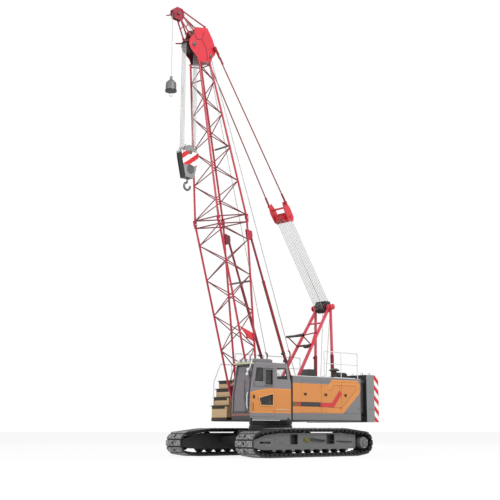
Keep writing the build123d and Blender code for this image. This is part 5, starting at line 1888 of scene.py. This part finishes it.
@dataclass
class Boom(Bench):
    """Pins, gusset, rollers, cable, head plates and backstop arms of the lattice boom."""

    joint: float = 6.6
    pin_y: float = 0.640
    cheek: float = 0.230
    stop_y: float = 0.60
    clip: float = 0.016

    def half_section(self, reach: float) -> list[float]:
        """Half depth and half width of the lattice at a reach."""
        return [min(pair) for pair in LATTICE.tapers(reach)]

    def build_pins(self) -> None:
        """Heads and keepers of the pins that join the sections."""
        depth, width = self.half_section(self.joint)
        pins = [self.lathe(LATTICE.at(self.joint, offset, face),
                           [(0.036, 0.0), (0.036, 0.014), (0.022, 0.018)], 20, 0.002, (0, way, 0))
                for offset in (-depth, depth)
                for face, way in ((width + 0.057, 1), (width - 0.057, -1))]
        x, _, z = LATTICE.foot
        pins.append(self.lathe((x, self.pin_y, z), [(0.045, -0.02), (0.045, 0.012),
                                                    (0.028, 0.018)], 20))
        self.done("chord_pins", Body.BOOM, "bare_steel", "bare_steel", *pins, twice=True)

    def build_plates(self) -> None:
        """Bright gusset plate with a boss in the left side of the base section."""
        y = self.half_section(2.5)[1] - 0.012
        corners = ((2.86, 0.31), (2.52, -0.29), (2.22, -0.27), (2.38, -0.02))
        plate = self.plate([LATTICE.at(*corner, y) for corner in corners], (0, 0.014, 0), 0.003)
        boss = self.lathe(LATTICE.at(2.45, -0.05, y - 0.03),
                          [(0.085, 0.0), (0.085, 0.075), (0.06, 0.08)], 28, 0.002)
        self.done("side_gusset", Body.BOOM, "signal_red", "boom_red", plate, boss)

    def build_run(self) -> None:
        """Cable with clips along a chord, and two rope rollers on the rear face."""
        points = []
        for reach in [0.9 + 0.85 * i for i in range(7)] + [6.9 + 0.9 * i for i in range(6)]:
            depth, width = self.half_section(reach)
            points.append(LATTICE.at(reach, depth - 0.055, width - 0.02))
        clips = [self.box([c - self.clip for c in point], [c + self.clip for c in point])
                 for point in points]
        self.done("boom_cable", Body.BOOM, "black_rubber", "trim_plastic",
                  self.pipe(points, 0.010, 4), *clips, angle=60)
        rollers = []
        for reach in (4.35, 9.3):
            depth, width = self.half_section(reach)
            ends = [LATTICE.at(reach, -depth - 0.075, y) for y in (-width + 0.05, width - 0.05)]
            rollers.append(self.rod(*ends, 0.034, 20, 0.004))
            rollers += [self.rod(LATTICE.at(reach, -depth, y), LATTICE.at(reach, -depth - 0.085, y),
                                 0.016) for y in (-width + 0.05, width - 0.05)]
        self.done("boom_rollers", Body.BOOM, "drum_iron", "drum_grey", *rollers)

    def build_head(self) -> None:
        """Pins, doublers, ribs and guide bars on the two cheeks of the head."""
        pins = [self.lathe((x, y, z), [(r, -0.03), (r, 0.012), (r * 0.7, 0.016),
                                       (r * 0.66, 0.030)], 28, 0.002)
                for (x, _, z), y, r in ((HEAD, 0.275, 0.075), (TIP, 0.152, 0.055),
                                        (GUIDE, 0.275, 0.06))]
        self.done("sheave_pins", Body.BOOM, "hook_grey", "bare_steel", *pins, twice=True)
        plates = [self.lathe((x, self.cheek - 0.002, z), [(r, 0.0), (r, 0.012)], sides, 0.003)
                  for (x, _, z), r, sides in ((HEAD, 0.150, 36), (GUIDE, 0.105, 32))]
        self.done("head_doublers", Body.BOOM, "signal_red", "boom_red", *plates, twice=True)
        routes = (((4.06, 14.93), (3.92, 14.66), (3.66, 14.71), (3.44, 14.38), (3.40, 13.98)),
                  ((3.66, 14.71), (3.60, 15.02)))
        ribs = [self.route([(x, self.cheek + 0.004, z) for x, z in route], 0.011)
                for route in routes]
        ribs += [self.rod((4.20, 0.205, 14.535), (4.52, 0.205, 14.45), 0.025, 16, 0.003),
                 self.rod((4.82, 0.100, 15.425), (5.05, 0.100, 15.335), 0.021, 16, 0.003)]
        start, run = Vector((3.0955, 0.318, 14.519)), Vector((-0.547, 0, -0.837))
        across = Vector((-0.837, 0, 0.547)) * 0.045
        for place, length in ((-0.05, 0.34), (0.36, 0.30)):
            a, b = start + run * place, start + run * (place + length)
            ribs.append(self.plate([a - across, a + across, b + across, b - across],
                                   (0, 0.016, 0), 0.003))
        self.done("head_ribs", Body.BOOM, "stop_red", "boom_red", *ribs, angle=50, twice=True)

    def build_stops(self) -> None:
        """Curved arm and knobs on the backstop tubes."""
        y = self.stop_y
        bends = ((-0.215, 3.20), (-0.30, 3.32), (-0.385, 3.46), (-0.415, 3.60), (-0.37, 3.69),
                 (-0.30, 3.70))
        corners = ((-0.235, 3.12), (-0.13, 3.36), (-0.215, 3.42), (-0.31, 3.22))
        self.done("stop_arms", Body.STOP_TUBE, "stop_red", "stop_red",
                  self.pipe([(x, y, z) for x, z in bends], 0.024),
                  self.plate([(x, 0.575, z) for x, z in corners], (0, 0.05, 0), 0.004),
                  angle=50, twice=True)
        knobs = []
        for x, z in ((-0.065, 3.60), (-0.165, 3.35)):
            knobs += [self.lathe((x, y, z), [(0.030, 0.04), (0.036, 0.06), (0.036, 0.10),
                                             (0.02, 0.11)], 18, towards=(0.928, 0, -0.372)),
                      self.lathe((x - 0.02, y, z - 0.05), [(0.060, 0.0), (0.060, 0.09)], 24, 0.003,
                                 (0.372, 0, 0.928))]
        self.done("stop_knobs", Body.STOP_TUBE, "chassis_black", "stop_red", *knobs, twice=True)

    def build(self) -> None:
        """Build everything on the boom."""
        self.build_pins()
        self.build_plates()
        self.build_run()
        self.build_head()
        self.build_stops()


@dataclass
class Hooks(Bench):
    """Axle caps and guards of the hook block."""

    block_at: Point = (HEAD[0], 0.151, 10.40)

    def build(self) -> None:
        """Build the fittings."""
        x, y, z = self.block_at
        axle = self.lathe((x, y - 0.004, z), [(0.070, 0.0), (0.070, 0.014), (0.045, 0.018),
                                              (0.042, 0.032)], 28, 0.002)
        boss = self.lathe((x - 0.02, y - 0.004, z - 0.60),
                          [(0.165, 0.0), (0.165, 0.010), (0.120, 0.014), (0.115, 0.008),
                           (0.05, 0.010)], 36, 0.002)
        bolts = self.ring(self.bolt((x + 0.055, y + 0.010, z), 0.006), (x, y, z), "Y", 6)
        self.done("block_caps", Body.MAIN_HOOK, "hook_grey", "bare_steel", axle, boss, bolts,
                  twice=True)
        guards = [self.pipe([(x + s * 0.29, y, z - 0.10), (x + s * 0.315, y, z + 0.12),
                             (x + s * 0.20, y, z + 0.27)], 0.010) for s in (-1, 1)]
        self.done("block_guards", Body.MAIN_HOOK, "chassis_black", "block_paint", *guards,
                  angle=50, twice=True)


PARTS: tuple = (Ropes, ShoeLugs, Tracks, Carbody, House, Counterweight, Steps, Winches, Deck, Cab,
                Gantry, Boom, Hooks)


# ---- Carried-over solids and studio ------------------------------------------------


@dataclass
class Solids:
    """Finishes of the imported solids, whose meshes stay as they are."""

    finishes: Finishes
    plan: dict[str, str] = field(default_factory=lambda: {
        "chassis_black": "carbody slew_ring deck_frame roof_locker",
        "frame_grey": "track_frame_left track_frame_right drive_sprockets idlers",
        "track_steel": "track_left track_right track_rollers",
        "house_livery": "house_left house_right left_door_front left_door_middle left_door_rear "
                        "right_door_front right_door_middle right_door_rear",
        "engine_iron": "engine", "step_beige": "step_box", "rail_white": "handrails",
        "ballast_paint": "counterweight_lower counterweight_middle counterweight_upper",
        "cab_livery": "cab_shell cab_door", "cab_glass": "cab_glass cab_door_glass",
        "seat_cloth": "cab_seat", "black_plastic": "cab_controls", "exhaust_dark": "air_cleaner",
        "gantry_red": "gantry_front gantry_rear", "head_paint": "gantry_head",
        "stop_red": "rope_guide backstop_tubes backstop_rods pendants", "signal_red": "bridle",
        "drum_iron": "front_drum main_drum boom_hoist_drum", "boom_red": "boom_base boom_top",
        "boom_head_paint": "boom_head", "sheave_dark": "boom_sheaves",
        "signal_dark": "tip_extension", "hanging_rope": "main_falls aux_rope",
        "block_paint": "hook_block", "hook_grey": "main_hook", "ball_iron": "aux_ball",
        "bare_steel": "aux_hook",
    })

    def dress(self, nodes: dict[str, Mesh]) -> None:
        """Give every solid its material.

        Args:
            nodes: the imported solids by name.
        """
        for finish, names in self.plan.items():
            for name in names.split():
                nodes[name].data.materials.clear()
                nodes[name].data.materials.append(self.finishes.get(finish))
                log.info("%s: %s", name, finish)


@dataclass
class Studio:
    """Pale floor, soft lamps and the camera."""

    distance: float = 35.5714
    turn: float = 0.7626
    height: float = 0.8903
    aim_x: float = -0.0464
    aim_y: float = 0.0525
    rise: float = 0.2264
    lens: float = 69.68
    shift_x: float = -0.0451
    shift_y: float = -0.0853
    floor_half: float = 400.0
    floor_glow: float = 0.86
    air: float = 0.55
    lamps: tuple = (("key", (6, 30, 26), 16, 7600), ("front", (34, 6, 14), 14, 3200),
                    ("back", (-22, -20, 24), 18, 2700))

    def build_floor(self) -> None:
        """Large plain floor that keeps a light shadow."""
        bpy.ops.mesh.primitive_plane_add(size=2 * self.floor_half, location=(0, 0, 0))
        floor = bpy.context.object
        floor.name = "studio_floor"
        s = Shade("studio_floor")
        s.finish({"Base Color": (0.90, 0.90, 0.90, 1), "Roughness": 0.9})
        s.glow("ShaderNodeEmission", s.surface.outputs[0], s.seen() * self.floor_glow,
               "Material Output")
        floor.data.materials.append(s.material)

    def build_light(self) -> None:
        """Even world light, one soft key and two wide fills."""
        world = bpy.data.worlds.new("studio_air")
        bpy.context.scene.world = world
        world.use_nodes = True
        sky = Nodes(world.node_tree)
        plain = sky.tree.nodes["Background"]
        sky.feed(plain, {"Color": (1, 1, 1, 1), "Strength": self.air})
        sky.glow("ShaderNodeBackground", plain.outputs[0], sky.seen(), "World Output")
        for name, place, size, power in self.lamps:
            bpy.ops.object.light_add(type="AREA", location=place)
            lamp = bpy.context.object
            lamp.name = f"lamp_{name}"
            lamp.data.size, lamp.data.energy = size, power
            aim = Vector((0, 0, 6)) - Vector(place)
            lamp.rotation_euler = aim.to_track_quat("-Z", "Y").to_euler()

    def build_camera(self) -> None:
        """Camera at eye level in front of the cab corner."""
        ahead, level = math.sin(self.turn), math.cos(self.turn)
        flat = math.cos(self.rise)
        place = Vector((self.aim_x + self.distance * ahead, self.aim_y + self.distance * level,
                        self.height))
        look = Vector((-ahead * flat, -level * flat, math.sin(self.rise)))
        bpy.ops.object.camera_add(location=place, rotation=look.to_track_quat("-Z", "Y").to_euler())
        bpy.context.scene.camera = bpy.context.object
        camera = bpy.context.object.data
        camera.lens, camera.clip_end = self.lens, 2000
        camera.shift_x, camera.shift_y = self.shift_x, self.shift_y

    def build(self) -> None:
        """Build the floor, the lamps and the camera."""
        self.build_floor()
        self.build_light()
        self.build_camera()
        bpy.context.scene.view_settings.view_transform = "Standard"


def main() -> None:
    """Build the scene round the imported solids."""
    logging.basicConfig(level=logging.INFO, format="%(name)s %(message)s")
    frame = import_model()
    finishes = Finishes()
    Studio().build()
    Solids(finishes).dress(frame["nodes"])
    for part in PARTS:
        part(finishes).build()
        log.info("%s is built", part.__name__)


if __name__ == "__main__":
    main()
